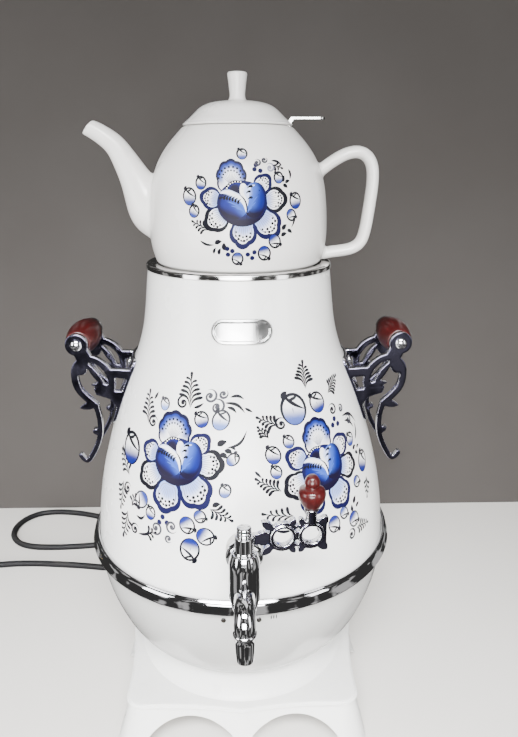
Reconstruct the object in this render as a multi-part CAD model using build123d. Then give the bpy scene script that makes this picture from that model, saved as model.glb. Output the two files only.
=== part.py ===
from build123d import *

import os
from math import asin, atan2, cos, degrees, radians, sin, sqrt

# An electric samovar with a porcelain teapot on top.
# Millimetres. Z is up from the table, X = Y = 0 is the axis of the vessel, and the tap
# points to -Y. The teapot's spout points to -X and its handle to +X.

# ------------------------------------------------------------------ driving sizes
RUNNING = 0.05  # radial clearance of what turns or slides in a bore
CLEAR = 0.25  # gap round what is pushed through a hole and clamped
SEAT = 0.2  # gap between a curved wall and what is shaped to lie on it
REST = 0.05  # gap under what only stands or hangs on a flat ledge

# plinth
PAD_HEIGHT = 2.0
PAD_RADIUS = 6.5
PAD_STUB = 2.6  # the pad's stub, pushed into the foot
PLINTH_WALL = 3.0
PLINTH_RIM_TOP = 45.0
PLINTH_RIM_THICKNESS = 4.0
PLINTH_HALF = 95.6  # half width at the waist between a corner and a side's middle
PLINTH_CORNER = 1.4  # how far the corners stand out from the waist
PLINTH_CUSP = 6.0  # how far the point in each side's middle stands out
PLINTH_CORNER_RADIUS = 17.0
SKIRT_INSET = 2.2  # the skirt starts this far inside the rim
SKIRT_FLARE = 11.0  # and ends this far outside its own top
ARCH_RADIUS = 45.0
ARCH_OFFSET = 40.5  # from the middle of a side to the middle of an arch
ARCH_TOP = 35.0
COLLAR_RADIUS = 84.0
COLLAR_FOOT_RADIUS = 93.5
COLLAR_FLANGE = 14.0  # width of the ledge that the bowl stands on
FOOT_PLATE = 4.0

# bowl below the belt
BOWL_WALL = 1.2
BOWL_FOOT_Z = 66.0
BOWL_TOP_Z = 159.6
BOWL_OUTLINE = [(122.6, BOWL_TOP_Z), (120.4, 133.0), (112.0, 104.5), (100.0, 82.0)]
BOWL_LEDGE = 18.0  # width of the flat ring under the bowl
COVER_THICKNESS = 1.5

# chrome belt round the joint
BELT_BOTTOM_Z = 156.5
BELT_HEIGHT = 10.0
BELT_TOP_STANDS_OUT = 2.4  # from the vessel's widest radius
BELT_BOTTOM_STANDS_OUT = 5.6
BELT_LIP = 1.2

# casing and tank
CASING_WALL = 0.9
CASING_BOTTOM_Z = 159.7
CASING_TOP_Z = 385.0
CASING_OUTLINE = [
    (70.9, CASING_TOP_Z),
    (73.0, 365.0),
    (77.4, 335.5),
    (92.1, 295.0),
    (106.0, 254.0),
    (115.0, 220.0),
    (120.7, 184.0),
    (122.6, CASING_BOTTOM_Z),
]
JOINT_LIP = 6.5  # inward lips of casing and bowl, screwed together
TANK_GAP = 4.0
TANK_WALL = 0.8
TANK_FLOOR_Z = 172.0
RIM_HEIGHT = 4.0
RIM_OVERHANG = 1.0
RIM_WALL = 1.2
STAND_LEDGE = 5.0
STAND_THICKNESS = 1.0
STAND_WELL = 7.0
STEAM_HOLE_RADIUS = 20.0
STEAM_VENTS = 8
STEAM_VENT_RADIUS = 3.0

# tap
TAP_X = 2.6
TAP_REACH = 162.0  # from the vessel's axis to the key's axis
TAP_Z = 205.0  # height of the waterway
BARREL_RADIUS = 10.0
BARREL_BOTTOM_Z = 189.0
BARREL_TOP_Z = 231.5
KEY_TOP_RADIUS = 6.4
KEY_BOTTOM_RADIUS = 5.6
KEY_NECK_RADIUS = 5.9
KEY_NECK_TOP_Z = 243.3
KEY_CAP_RADIUS = 4.6
KEY_CAP_TOP_Z = 249.6
WATERWAY_RADIUS = 3.6
SHANK_RADIUS = 7.0
SHANK_THREAD_RADIUS = 8.0
TAP_ROSETTE_RADIUS = 13.0
NOZZLE_REACH = 26.0  # from the key's axis forward to the nozzle's axis
NOZZLE_BEND = 11.0
NOZZLE_BOTTOM_Z = 173.2
NOZZLE_TOP_RADIUS = 6.4
NOZZLE_END_RADIUS = 5.8
ELBOW_RADIUS = 6.6

# key lever
LEVER_TURN = 8.0  # degrees from +X towards the vessel when shut
LEVER_THICKNESS = 4.0
LEVER_Z = 241.0
LEVER_RINGS = [24.2, 42.2]  # distances of the two open rings from the key's axis
LEVER_HOLE_RADIUS = 5.8
LEVER_RING_RADIUS = 9.9
LEVER_END = 52.0
LEVER_HALF_HEIGHT = 11.6
KNOB_AT = 42.2
KNOB_BASE_Z = 258.8
KNOB_OUTLINE = [(4.0, 0.0), (5.2, 1.6), (7.4, 5.2), (8.7, 10.0), (7.6, 13.2)]  # radius, height
KNOB_WAIST = 4.0
KNOB_TOP_BALL = 4.8
KNOB_HEIGHT = 22.6

# side handles
HANDLE_HALF_GAP = 23.5  # from the handle's middle to a scroll plate
SCROLL_THICKNESS = 5.0
EYE = (125.6, 328.2)
EYE_RADIUS = 8.8
ROD_RADIUS = 2.5
GRIP_END_RADIUS = 9.6
GRIP_MIDDLE_RADIUS = 12.6
SCROLL_WIDTH = 5.6
SCROLL_NECK = [(117.6, 325.2), (129.0, 323.2), (126.2, 315.0), (113.5, 314.0), (114.5, 319.0)]
SCROLL_OUTER = [(120.5, 315.5), (127.0, 311.5), (128.9, 302.0), (127.0, 292.8), (121.3, 285.2)]
SCROLL_OUTER += [(114.5, 278.5)]
SCROLL_BALL = (124.0, 309.0)
SCROLL_BALL_RADIUS = 5.2
SCROLL_TAIL = [(114.5, 278.5), (112.6, 270.5), (112.0, 260.5), (113.4, 250.8), (117.2, 241.2), (120.6, 235.0)]
SCROLL_CURL = [(120.6, 235.0), (124.6, 230.8), (129.4, 235.2)]
SCROLL_INNER = [(120.3, 316.8), (112.7, 316.1), (106.1, 311.6), (101.9, 305.0), (100.5, 296.7)]
SCROLL_INNER += [(102.6, 288.4)]
SCROLL_LEAVES = [  # base, tip, width
    ((119.5, 314.8), (106.0, 294.0), 5.4),
    ((100.0, 294.0), (117.0, 296.0), 4.6),
    ((112.0, 279.6), (127.2, 276.6), 6.0),
]
SCROLL_BEAD = (115.8, 256.1)
SCROLL_WEBS = [  # what joins the scrolls to each other and to the strap
    [(100.0, 292.0), (115.0, 293.0), (113.5, 287.6), (99.0, 282.5)],
    [(84.0, 308.0), (103.0, 309.0), (102.0, 302.0), (84.0, 300.0)],
    [(86.0, 290.0), (102.0, 291.0), (103.0, 285.0), (97.0, 276.0), (88.0, 274.0)],
]
SCREW_DOME_RADIUS = 4.4
SCREW_DOME_HEIGHT = 2.6
STRAP_THICKNESS = 3.0
STRAP_TOP_Z = 316.0
STRAP_BOTTOM_Z = 262.0
STRAP_HALF_WIDTH = 28.5
HANDLE_SCREW_Z = [306.0, 272.0]
HANDLE_SCREW_RADIUS = 2.0
HANDLE_SCREW_HEAD = 3.8

# name plate
PLATE_X = 2.1
PLATE_Z = 350.3
PLATE_WIDTH = 43.0
PLATE_HEIGHT = 17.2
PLATE_THICKNESS = 1.1
PLATE_RAISED = 0.7

# indicator lamps in the bowl
LAMP_SPACING = 25.6
LAMP_Z = 148.4
LAMP_RADIUS = 1.9
LAMP_BODY_RADIUS = 3.6

# teapot
POT_WALL = 4.0
POT_FOOT_MARGIN = 4.35  # from the stand's edge in to the teapot's foot
POT_FOOT_WIDTH = 5.0
POT_FOOT_HEIGHT = 3.0
POT_BASE_STANDS_OUT = 4.6  # the teapot's base beyond its foot
POT_OUTLINE = [(67.0, 403.0), (67.6, 412.0), (66.7, 433.0), (64.6, 448.0), (60.0, 461.5), (53.0, 473.0)]
POT_MOUTH_RADIUS = 40.0
POT_MOUTH_Z = 487.2
POT_BORE_RADIUS = 33.0
POT_GALLERY_RADIUS = 36.0
POT_GALLERY_DEPTH = 3.0
POT_LEDGE = 3.0
SPOUT_BORE = 0.68  # the spout's bore as a share of its outside
STRAINER_RADIUS = 2.5
STRAINER_PITCH = 7.5
STRAINER_RISE = 6.0  # the strainer's middle above the spout's root
POT_HANDLE_WIDTH = 14.5
POT_HANDLE_DEPTH = 9.2

# infuser
INFUSER_WALL = 0.8
INFUSER_RADIUS = 29.5
INFUSER_DEPTH = 52.0
INFUSER_HOLE_RADIUS = 1.5
INFUSER_HOLE_ROWS = [8.0, 15.0, 22.0]  # heights of the rows above the cup's floor
INFUSER_HOLES = 12
TAB_WIDTH = 10.0
TAB_THICKNESS = 1.4
TAB_END_X = 64.5
TAB_Z = 492.2
TAB_NOTCH_CLEAR = 1.0

# lid
LID_RADIUS = 40.4
LID_EDGE = 1.6
LID_RISE = 17.0  # from the lid's rest up to the foot of its knob
LID_WALL = 3.5
LID_FLANGE_DEPTH = 8.0
KNOB_NECK_RADIUS = 5.8
KNOB_RIM_RADIUS = 7.2
LID_KNOB_HEIGHT = 19.6

# heating and wiring
ELEMENT_RADIUS = 3.75
ELEMENT_LEG_RADIUS = 4.5  # the bushings round the element's ends
ELEMENT_RING = 60.0
ELEMENT_RISE = 14.0  # from the tank's floor up to the ring
ELEMENT_GAP_ANGLE = 24.0
ELEMENT_LEG_DROP = 14.0  # from the tank's floor down to the end of a bushing
ELEMENT_PIN_DROP = 22.0
ELEMENT_PIN_RADIUS = 1.5
THERMOSTAT_RADIUS = 15.0
THERMOSTAT_HEIGHT = 13.0
CUTOUT_RADIUS = 9.0
CUTOUT_HEIGHT = 9.0
CUTOUT_X = 36.0
TERMINAL_BLOCK = (30.0, 18.0, 14.0)
WIRE_RADIUS = 1.3
WIRE_BEND = 6.0
BLADE_LENGTH = 6.0  # blade terminals of thermostat and cut-out
BLADE_X = 6.0
CUTOUT_BLADE_Y = 4.0
CLAMP_PITCH = 10.0  # between the terminal block's clamps
BLOCK_AT = (34.0, 30.0)

# mains cord
CORD_RADIUS = 3.5
GLAND_ANGLE = 62.0  # round the bowl, from +X towards the back
GLAND_Z = 112.0
GLAND_RADIUS = 8.0
GLAND_FLANGE = 2.5
RELIEF_LENGTH = 34.0
PLUG_HALF_WIDTH = 17.0
PLUG_HALF_THICKNESS = 7.2
PLUG_AXIS_Z = PLUG_HALF_THICKNESS + 0.2
PLUG_PIN_RADIUS = 2.4
PLUG_PIN_LENGTH = 19.0
PLUG_PIN_SPACING = 19.0

# ------------------------------------------------------------------ small helpers


def ring_solid(profile):
    """A solid of revolution from a closed outline of (radius, height) points and edges."""
    return revolve(make_face(profile), Axis.Z)


def at_r(points):
    return [(r, 0, z) for r, z in points]


def polygon_ring(points):
    """A solid of revolution with straight sides."""
    return ring_solid(Polyline(at_r(points), close=True))


def cylinder(radius, bottom, top, x=0.0, y=0.0):
    return Pos(x, y, bottom) * extrude(Circle(radius), top - bottom)


def tube(outer, inner, bottom, top, x=0.0, y=0.0):
    return cylinder(outer, bottom, top, x, y) - cylinder(inner, bottom, top, x, y)


def hexagon(across_flats, bottom, top, x=0.0, y=0.0):
    side_radius = across_flats / 2 / cos(radians(30))
    return Pos(x, y, bottom) * extrude(RegularPolygon(side_radius, 6), top - bottom)


def along_y(radius, start, end, x, z):
    """A round bar from y = start towards -Y, as far as y = end."""
    return Pos(x, start, z) * Rot(90, 0, 0) * extrude(Circle(radius), start - end)


def edge_at(edge, height):
    """Radius of an outline at a height, and how far its outward normal looks up, in degrees."""
    low, high = 0.0, 1.0
    falling = (edge @ 0).Z > (edge @ 1).Z
    for _ in range(40):
        middle = (low + high) / 2
        if ((edge @ middle).Z > height) == falling:
            low = middle
        else:
            high = middle
    tangent = edge % low
    return (edge @ low).X, degrees(atan2(abs(tangent.X), abs(tangent.Z)))


def line_of(outline, shift=0.0):
    return Spline(*[(r + shift, 0, z) for r, z in outline])


def vessel_solid(outline, shift=0.0):
    """The full body inside an outline that has been moved out by shift."""
    line = line_of(outline, shift)
    top, bottom = line @ 0, line @ 1
    closing = Polyline(bottom, (0, 0, bottom.Z), (0, 0, top.Z), top)
    return revolve(make_face(line + closing), Axis.Z)


def vessel_shell(outline, wall):
    """The wall between an outline and the same outline moved in by the wall."""
    outer, inner = line_of(outline), line_of(outline, -wall)
    sides = Line(outer @ 0, inner @ 0) + Line(outer @ 1, inner @ 1)
    return revolve(make_face(outer + inner + sides), Axis.Z)


# ------------------------------------------------------------------ plinth


def bracket_outline(grow):
    """The plinth's outline: a square with round corners and a point in each side's middle."""
    corner = PLINTH_HALF + PLINTH_CORNER + grow
    waist = PLINTH_HALF + grow
    cusp = PLINTH_HALF + PLINTH_CUSP + grow
    side = ThreePointArc((-corner, -corner), (-corner / 2, -waist), (0, -cusp))
    side += ThreePointArc((0, -cusp), (corner / 2, -waist), (corner, -corner))
    outline = Curve() + [Rot(0, 0, 90 * turn) * side for turn in range(4)]
    face = make_face(outline.edges())
    corners = [v for v in face.vertices() if abs(abs(v.X) - abs(v.Y)) < 1]
    return fillet(corners, PLINTH_CORNER_RADIUS + grow)


def skirt_solid(grow, bottom, top):
    """The flared skirt's full body: grow is how far it is moved out all round."""
    upper = Pos(0, 0, top) * bracket_outline(grow - SKIRT_INSET)
    lower = Pos(0, 0, bottom) * bracket_outline(grow - SKIRT_INSET + SKIRT_FLARE)
    return loft([lower, upper], ruled=True)


def arch_cutter():
    """The arches: two across each side, cut straight through the plinth."""
    bar = extrude(Circle(ARCH_RADIUS), 2 * COLLAR_FOOT_RADIUS, both=True)
    one = Pos(ARCH_OFFSET, 0, ARCH_TOP - ARCH_RADIUS) * Rot(90, 0, 0) * bar
    pair = one + mirror(one, Plane.YZ)
    return pair + Rot(0, 0, 90) * pair


def foot_places():
    half = PLINTH_HALF - SKIRT_INSET + SKIRT_FLARE - 2 * PAD_RADIUS
    return [(sx * half, sy * half) for sx in (-1, 1) for sy in (-1, 1)]


def screw_places(radius, count, start=45.0):
    turns = [radians(start + 360.0 / count * i) for i in range(count)]
    return [(radius * cos(t), radius * sin(t)) for t in turns]


def cove_solid():
    """The round collar that rises from the rim in a hollow curve to the bowl's seat."""
    foot = (COLLAR_FOOT_RADIUS, 0, PLINTH_RIM_TOP)
    top = (COLLAR_RADIUS, 0, BOWL_FOOT_Z)
    bend = (COLLAR_RADIUS + 2.0, 0, PLINTH_RIM_TOP + 8.0)
    cove = ThreePointArc(foot, bend, top)
    rest = Polyline(top, (0, 0, BOWL_FOOT_Z), (0, 0, PLINTH_RIM_TOP), foot)
    return revolve(make_face(cove + rest), Axis.Z)


PLINTH_SCREWS = screw_places(COLLAR_RADIUS - COLLAR_FLANGE / 2, 4)


def plinth():
    rim_bottom = PLINTH_RIM_TOP - PLINTH_RIM_THICKNESS
    rim = Pos(0, 0, rim_bottom) * extrude(bracket_outline(0), PLINTH_RIM_THICKNESS)
    rim = fillet(rim.faces().sort_by(Axis.Z)[-1].edges(), 1.6)
    body = rim + cove_solid() + skirt_solid(0, PAD_HEIGHT, rim_bottom)
    inside_radius = COLLAR_RADIUS - PLINTH_WALL
    hollow = skirt_solid(-PLINTH_WALL, PAD_HEIGHT, rim_bottom)
    body -= hollow
    body -= cylinder(inside_radius, rim_bottom, BOWL_FOOT_Z - PLINTH_WALL)
    body -= cylinder(COLLAR_RADIUS - COLLAR_FLANGE, rim_bottom, BOWL_FOOT_Z)
    body -= arch_cutter()
    inside = skirt_solid(-PLINTH_WALL / 2, PAD_HEIGHT, rim_bottom)
    for x, y in foot_places():
        square = Pos(x, y, PAD_HEIGHT) * extrude(Rectangle(30, 30), FOOT_PLATE)
        body += square & inside
        body -= cylinder(PAD_STUB + RUNNING, PAD_HEIGHT, PAD_HEIGHT + FOOT_PLATE, x, y)
    for x, y in PLINTH_SCREWS:
        body -= cylinder(2.0 + CLEAR, rim_bottom, BOWL_FOOT_Z, x, y)
    return body


def rubber_feet():
    pads = []
    for x, y in foot_places():
        pad = cylinder(PAD_RADIUS, 0, PAD_HEIGHT, x, y)
        pads.append(pad + cylinder(PAD_STUB, PAD_HEIGHT, PAD_HEIGHT + FOOT_PLATE, x, y))
    return pads


def plinth_screws():
    """Screws that come up through the plinth's ledge into nuts inside the bowl."""
    screws = []
    ledge_bottom = BOWL_FOOT_Z - PLINTH_WALL
    bowl_floor = BOWL_FOOT_Z + BOWL_WALL
    for x, y in PLINTH_SCREWS:
        head = cylinder(3.6, ledge_bottom - 2.4, ledge_bottom, x, y)
        shank = cylinder(2.0, ledge_bottom, bowl_floor + 4.0, x, y)
        screws.append(head + shank)
    return screws


def plinth_nuts():
    floor = BOWL_FOOT_Z + BOWL_WALL
    bore = 2.0 + RUNNING
    nuts = [hexagon(7.0, floor, floor + 3.2, x, y) for x, y in PLINTH_SCREWS]
    bores = [cylinder(bore, floor, floor + 3.2, x, y) for x, y in PLINTH_SCREWS]
    return [nut - hole for nut, hole in zip(nuts, bores)]


# ------------------------------------------------------------------ bowl, belt, casing

BOWL_LINE = BOWL_OUTLINE + [(COLLAR_RADIUS, BOWL_FOOT_Z)]
JOINT_RADIUS = BOWL_OUTLINE[0][0] - CASING_WALL - JOINT_LIP / 2
JOINT_SCREWS = screw_places(JOINT_RADIUS, 4, 20.0)


def lamp_places():
    """Angle round the bowl of each indicator lamp, in degrees from -Y."""
    radius = edge_at(line_of(BOWL_LINE), LAMP_Z)[0]
    turn = degrees(asin(LAMP_SPACING / 2 / radius))
    return radius, [-turn, turn]


def lower_bowl():
    body = vessel_shell(BOWL_LINE, BOWL_WALL)
    ledge_inner = COLLAR_RADIUS - BOWL_LEDGE
    body += tube(COLLAR_RADIUS - BOWL_WALL / 2, ledge_inner, BOWL_FOOT_Z, BOWL_FOOT_Z + BOWL_WALL)
    lip_outer = BOWL_OUTLINE[0][0] - BOWL_WALL / 2
    lip_inner = BOWL_OUTLINE[0][0] - CASING_WALL - JOINT_LIP
    body += tube(lip_outer, lip_inner, BOWL_TOP_Z - BOWL_WALL, BOWL_TOP_Z)
    for x, y in PLINTH_SCREWS:
        body -= cylinder(2.0 + CLEAR, BOWL_FOOT_Z, BOWL_FOOT_Z + BOWL_WALL, x, y)
    for x, y in JOINT_SCREWS:
        body -= cylinder(1.5 + CLEAR, BOWL_TOP_Z - BOWL_WALL, BOWL_TOP_Z, x, y)
    for x, y in COVER_SCREWS:
        body -= cylinder(1.5 + RUNNING, BOWL_FOOT_Z, BOWL_FOOT_Z + BOWL_WALL, x, y)
    radius, turns = lamp_places()
    for turn in turns:
        bar = along_y(LAMP_RADIUS + RUNNING, -radius + 8, -radius - 8, 0, LAMP_Z)
        body -= Rot(0, 0, turn) * bar
    body -= gland_frame() * Cylinder(GLAND_RADIUS - 2.5 + RUNNING, 40)
    return body


COVER_RADIUS = COLLAR_RADIUS - COLLAR_FLANGE - 1.0
COVER_SCREWS = screw_places(COVER_RADIUS - 1.9 - 1.0, 3, 90.0)


def bottom_cover():
    """The disc under the bowl that closes the wiring space, with vent slots."""
    disc = cylinder(COVER_RADIUS, BOWL_FOOT_Z - COVER_THICKNESS, BOWL_FOOT_Z)
    slot = extrude(SlotOverall(30, 3.0), COVER_THICKNESS)
    for i in range(6):
        disc -= Rot(0, 0, 60 * i) * Pos(36, 0, BOWL_FOOT_Z - COVER_THICKNESS) * slot
    for x, y in COVER_SCREWS:
        disc -= cylinder(1.5 + CLEAR, BOWL_FOOT_Z - COVER_THICKNESS, BOWL_FOOT_Z, x, y)
    return disc


def cover_screws():
    under = BOWL_FOOT_Z - COVER_THICKNESS
    top = BOWL_FOOT_Z + 4.0
    places = COVER_SCREWS
    return [cylinder(2.8, under - 1.8, under, x, y) + cylinder(1.5, under, top, x, y) for x, y in places]


BELT_TOP_RADIUS = BOWL_OUTLINE[0][0] + BELT_TOP_STANDS_OUT
BELT_BOTTOM_RADIUS = BOWL_OUTLINE[0][0] + BELT_BOTTOM_STANDS_OUT


def belt():
    """A rolled chrome band of C section that hides the joint of casing and bowl."""
    top_z = BELT_BOTTOM_Z + BELT_HEIGHT
    inner = BOWL_OUTLINE[0][0] + CLEAR
    outer_top, outer_bottom = (BELT_TOP_RADIUS, 0, top_z), (BELT_BOTTOM_RADIUS, 0, BELT_BOTTOM_Z + 1.6)
    belly = ((BELT_TOP_RADIUS + BELT_BOTTOM_RADIUS) / 2 + 0.7, 0, BELT_BOTTOM_Z + BELT_HEIGHT / 2)
    face_line = ThreePointArc(outer_top, belly, outer_bottom)
    bead_end = (BELT_BOTTOM_RADIUS - 1.0, 0, BELT_BOTTOM_Z)
    bead = ThreePointArc(outer_bottom, (BELT_BOTTOM_RADIUS + 0.2, 0, BELT_BOTTOM_Z + 0.6), bead_end)
    channel = BELT_TOP_RADIUS - BELT_LIP
    inside = [
        (BELT_BOTTOM_RADIUS - 1.0, BELT_BOTTOM_Z),
        (inner, BELT_BOTTOM_Z),
        (inner, BELT_BOTTOM_Z + BELT_LIP),
        (channel, BELT_BOTTOM_Z + BELT_LIP),
        (channel, top_z - BELT_LIP),
        (inner, top_z - BELT_LIP),
        (inner, top_z),
        (BELT_TOP_RADIUS, top_z),
    ]
    return ring_solid(face_line + bead + Polyline(at_r(inside)))


def outer_casing():
    body = vessel_shell(CASING_OUTLINE, CASING_WALL)
    lip_outer = CASING_OUTLINE[-1][0] - CASING_WALL / 2
    lip_inner = BOWL_OUTLINE[0][0] - CASING_WALL - JOINT_LIP
    body += tube(lip_outer, lip_inner, CASING_BOTTOM_Z, CASING_BOTTOM_Z + CASING_WALL)
    for x, y in JOINT_SCREWS:
        body -= cylinder(1.5 + CLEAR, CASING_BOTTOM_Z, CASING_BOTTOM_Z + CASING_WALL, x, y)
    body -= tap_hole()
    for frame in handle_screw_frames():
        body -= frame * Cylinder(HANDLE_SCREW_RADIUS + CLEAR, 24)
    return body


def joint_screws():
    """Screws that join the inward lips of bowl and casing, each with its nut."""
    low, high = BOWL_TOP_Z - BOWL_WALL, CASING_BOTTOM_Z + CASING_WALL
    screws = []
    for x, y in JOINT_SCREWS:
        screw = cylinder(2.8, low - 1.8, low, x, y) + cylinder(1.5, low, high + 1.0, x, y)
        screws.append(screw)
    return screws


def tap_hole():
    return along_y(SHANK_THREAD_RADIUS + CLEAR, -90, -135, TAP_X, TAP_Z)


# ------------------------------------------------------------------ tank and rim

TANK_SHIFT = -(CASING_WALL + TANK_GAP)
TANK_TOP_Z = CASING_TOP_Z


def tank_outline():
    """The tank follows the casing, from its mouth down to its own floor."""
    low = [(r, z) for r, z in CASING_OUTLINE if z > TANK_FLOOR_Z + 6]
    bottom = edge_at(line_of(CASING_OUTLINE), TANK_FLOOR_Z)[0]
    return [(r + TANK_SHIFT, z) for r, z in low] + [(bottom + TANK_SHIFT, TANK_FLOOR_Z)]


def element_legs():
    """Where the element's two ends pass the tank's floor."""
    half = radians(ELEMENT_GAP_ANGLE / 2)
    return [(sign * ELEMENT_RING * sin(half), ELEMENT_RING * cos(half)) for sign in (-1, 1)]


def inner_tank():
    outline = tank_outline()
    body = vessel_shell(outline, TANK_WALL)
    floor_radius = outline[-1][0] - TANK_WALL / 2
    body += cylinder(floor_radius, TANK_FLOOR_Z, TANK_FLOOR_Z + TANK_WALL)
    body -= tap_hole()
    for x, y in element_legs():
        body -= cylinder(ELEMENT_LEG_RADIUS + CLEAR, TANK_FLOOR_Z, TANK_FLOOR_Z + TANK_WALL, x, y)
    return body


def support_ring():
    """The ring that carries the tank's floor on the casing's lip."""
    lip = CASING_BOTTOM_Z + CASING_WALL
    outer = edge_at(line_of(CASING_OUTLINE, -CASING_WALL), lip)[0] - CLEAR
    inner = outer - 14.0
    wall = 1.5
    profile = [
        (outer, lip),
        (outer, lip + wall),
        (inner + wall, lip + wall),
        (inner + wall, TANK_FLOOR_Z),
        (inner, TANK_FLOOR_Z),
        (inner, lip),
    ]
    body = polygon_ring(profile)
    for x, y in JOINT_SCREWS:
        body -= cylinder(3.5, lip, lip + wall, x, y)
    return body


TANK_MOUTH_RADIUS = CASING_OUTLINE[0][0] + TANK_SHIFT - TANK_WALL
RIM_INNER_RADIUS = TANK_MOUTH_RADIUS - CLEAR


def rim_ring():
    """The chrome ring over the edges of casing and tank, with a ledge for the stand."""
    top = CASING_TOP_Z + RIM_HEIGHT
    outer = CASING_OUTLINE[0][0] + RIM_OVERHANG
    bore = RIM_INNER_RADIUS - RIM_WALL
    ledge = bore - STAND_LEDGE
    profile = [
        (outer, CASING_TOP_Z),
        (outer, top - 1.2),
        (outer - 1.2, top),
        (bore, top),
        (bore, CASING_TOP_Z - 1.0),
        (ledge, CASING_TOP_Z - 1.0),
        (ledge, CASING_TOP_Z - 2.2),
        (RIM_INNER_RADIUS, CASING_TOP_Z - 2.2),
        (RIM_INNER_RADIUS, CASING_TOP_Z),
    ]
    return polygon_ring(profile)


STAND_BOTTOM_Z = CASING_TOP_Z - 1.0
STAND_TOP_Z = STAND_BOTTOM_Z + STAND_THICKNESS
STAND_RADIUS = RIM_INNER_RADIUS - RIM_WALL - 2 * SEAT
POT_FOOT_RADIUS = STAND_RADIUS - POT_FOOT_MARGIN
POT_BASE_RADIUS = POT_FOOT_RADIUS + POT_BASE_STANDS_OUT


def teapot_stand():
    """The dished lid that the teapot stands on, open in its middle for the steam."""
    flat = POT_FOOT_RADIUS - POT_FOOT_WIDTH - 4.0
    low = STAND_TOP_Z - STAND_WELL
    t = STAND_THICKNESS
    collar = STEAM_HOLE_RADIUS + 8.0
    profile = [
        (STAND_RADIUS, STAND_BOTTOM_Z),
        (STAND_RADIUS, STAND_TOP_Z),
        (flat, STAND_TOP_Z),
        (flat - 6.0, low),
        (collar, low),
        (STEAM_HOLE_RADIUS, low + 3.0),
        (STEAM_HOLE_RADIUS, low + 3.0 - t),
        (collar, low - t),
        (flat - 6.0 - t, low - t),
        (flat - t, STAND_BOTTOM_Z),
    ]
    body = polygon_ring(profile)
    vent_radius = (flat - 6.0 + collar) / 2
    for x, y in screw_places(vent_radius, STEAM_VENTS, 0.0):
        body -= cylinder(STEAM_VENT_RADIUS, low - 2 * t, low + t, x, y)
    return body


# ------------------------------------------------------------------ heating and wiring


def heating_element():
    """A round loop of sheathed element above the tank's floor, with two legs through it."""
    ring_z = TANK_FLOOR_Z + ELEMENT_RISE
    start = 90 + ELEMENT_GAP_ANGLE / 2
    path = CenterArc((0, 0, ring_z), ELEMENT_RING, start, 360 - ELEMENT_GAP_ANGLE)
    section = Plane(path @ 0, z_dir=path % 0) * Circle(ELEMENT_RADIUS)
    body = sweep(section, path)
    leg_low, pin_low = TANK_FLOOR_Z - ELEMENT_LEG_DROP, TANK_FLOOR_Z - ELEMENT_PIN_DROP
    pin, radius = ELEMENT_PIN_RADIUS, ELEMENT_LEG_RADIUS
    outline = [(0, pin_low), (pin, pin_low), (pin, leg_low), (radius, leg_low)]
    leg = polygon_ring(outline + [(radius, ring_z), (0, ring_z)])
    leg += Pos(0, 0, ring_z) * Sphere(radius)
    for x, y in element_legs():
        body += Pos(x, y, 0) * leg
    return body


def element_seals():
    floor = TANK_FLOOR_Z + TANK_WALL
    bore = ELEMENT_LEG_RADIUS + RUNNING
    return [tube(bore + 3.0, bore, floor, floor + 2.5, x, y) for x, y in element_legs()]


def element_nuts():
    bore = ELEMENT_LEG_RADIUS + RUNNING
    nuts = []
    for x, y in element_legs():
        nut = hexagon(13.0, TANK_FLOOR_Z - 5.0, TANK_FLOOR_Z, x, y)
        nuts.append(nut - cylinder(bore, TANK_FLOOR_Z - 5.0, TANK_FLOOR_Z, x, y))
    return nuts


def thermostat():
    """A disc thermostat held against the tank's floor, with two blade terminals."""
    low = TANK_FLOOR_Z - THERMOSTAT_HEIGHT
    body = cylinder(THERMOSTAT_RADIUS, low + 4, TANK_FLOOR_Z)
    body += cylinder(THERMOSTAT_RADIUS - 3, low, low + 4)
    for x in (-BLADE_X, BLADE_X):
        body += Pos(x, 0, low - BLADE_LENGTH) * extrude(Rectangle(0.8, 6.3), BLADE_LENGTH)
    return body


def thermal_cutout():
    low = TANK_FLOOR_Z - CUTOUT_HEIGHT
    body = cylinder(CUTOUT_RADIUS, low, TANK_FLOOR_Z, CUTOUT_X)
    for y in (-CUTOUT_BLADE_Y, CUTOUT_BLADE_Y):
        body += Pos(CUTOUT_X, y, low - BLADE_LENGTH) * extrude(Rectangle(6.3, 0.8), BLADE_LENGTH)
    return body


def terminal_block():
    length, width, height = TERMINAL_BLOCK
    low = BOWL_FOOT_Z
    body = Pos(*BLOCK_AT, low) * extrude(Rectangle(length, width), height)
    for i in (-0.5, 0.5):
        groove = extrude(Rectangle(1.2, width), height)
        body -= Pos(BLOCK_AT[0] + i * CLAMP_PITCH, BLOCK_AT[1], low + 4) * groove
    for i in (-1, 0, 1):
        body -= cylinder(2.0, low + height - 4, low + height, BLOCK_AT[0] + i * CLAMP_PITCH, BLOCK_AT[1])
    return body


def lead(start, end):
    """A wire that rises from start, crosses over and comes up under end."""
    third = (end[2] - start[2]) / 3
    points = [start, (*start[:2], start[2] + third), (*end[:2], end[2] - third), end]
    path = FilletPolyline(*points, radius=WIRE_BEND)
    return sweep(Plane(path @ 0, z_dir=path % 0) * Circle(WIRE_RADIUS), path)


def internal_wiring():
    """Leads from the terminal block to the thermostat, the cut-out and an element leg."""
    x, y = BLOCK_AT
    block_top = BOWL_FOOT_Z + TERMINAL_BLOCK[2]
    leg_x, leg_y = element_legs()[1]
    return [
        lead((x - CLAMP_PITCH, y, block_top), (BLADE_X, 0, TANK_FLOOR_Z - THERMOSTAT_HEIGHT - BLADE_LENGTH)),
        lead((x, y, block_top), (CUTOUT_X, CUTOUT_BLADE_Y, TANK_FLOOR_Z - CUTOUT_HEIGHT - BLADE_LENGTH)),
        lead((x + CLAMP_PITCH, y, block_top), (leg_x, leg_y, TANK_FLOOR_Z - ELEMENT_PIN_DROP)),
    ]


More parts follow.
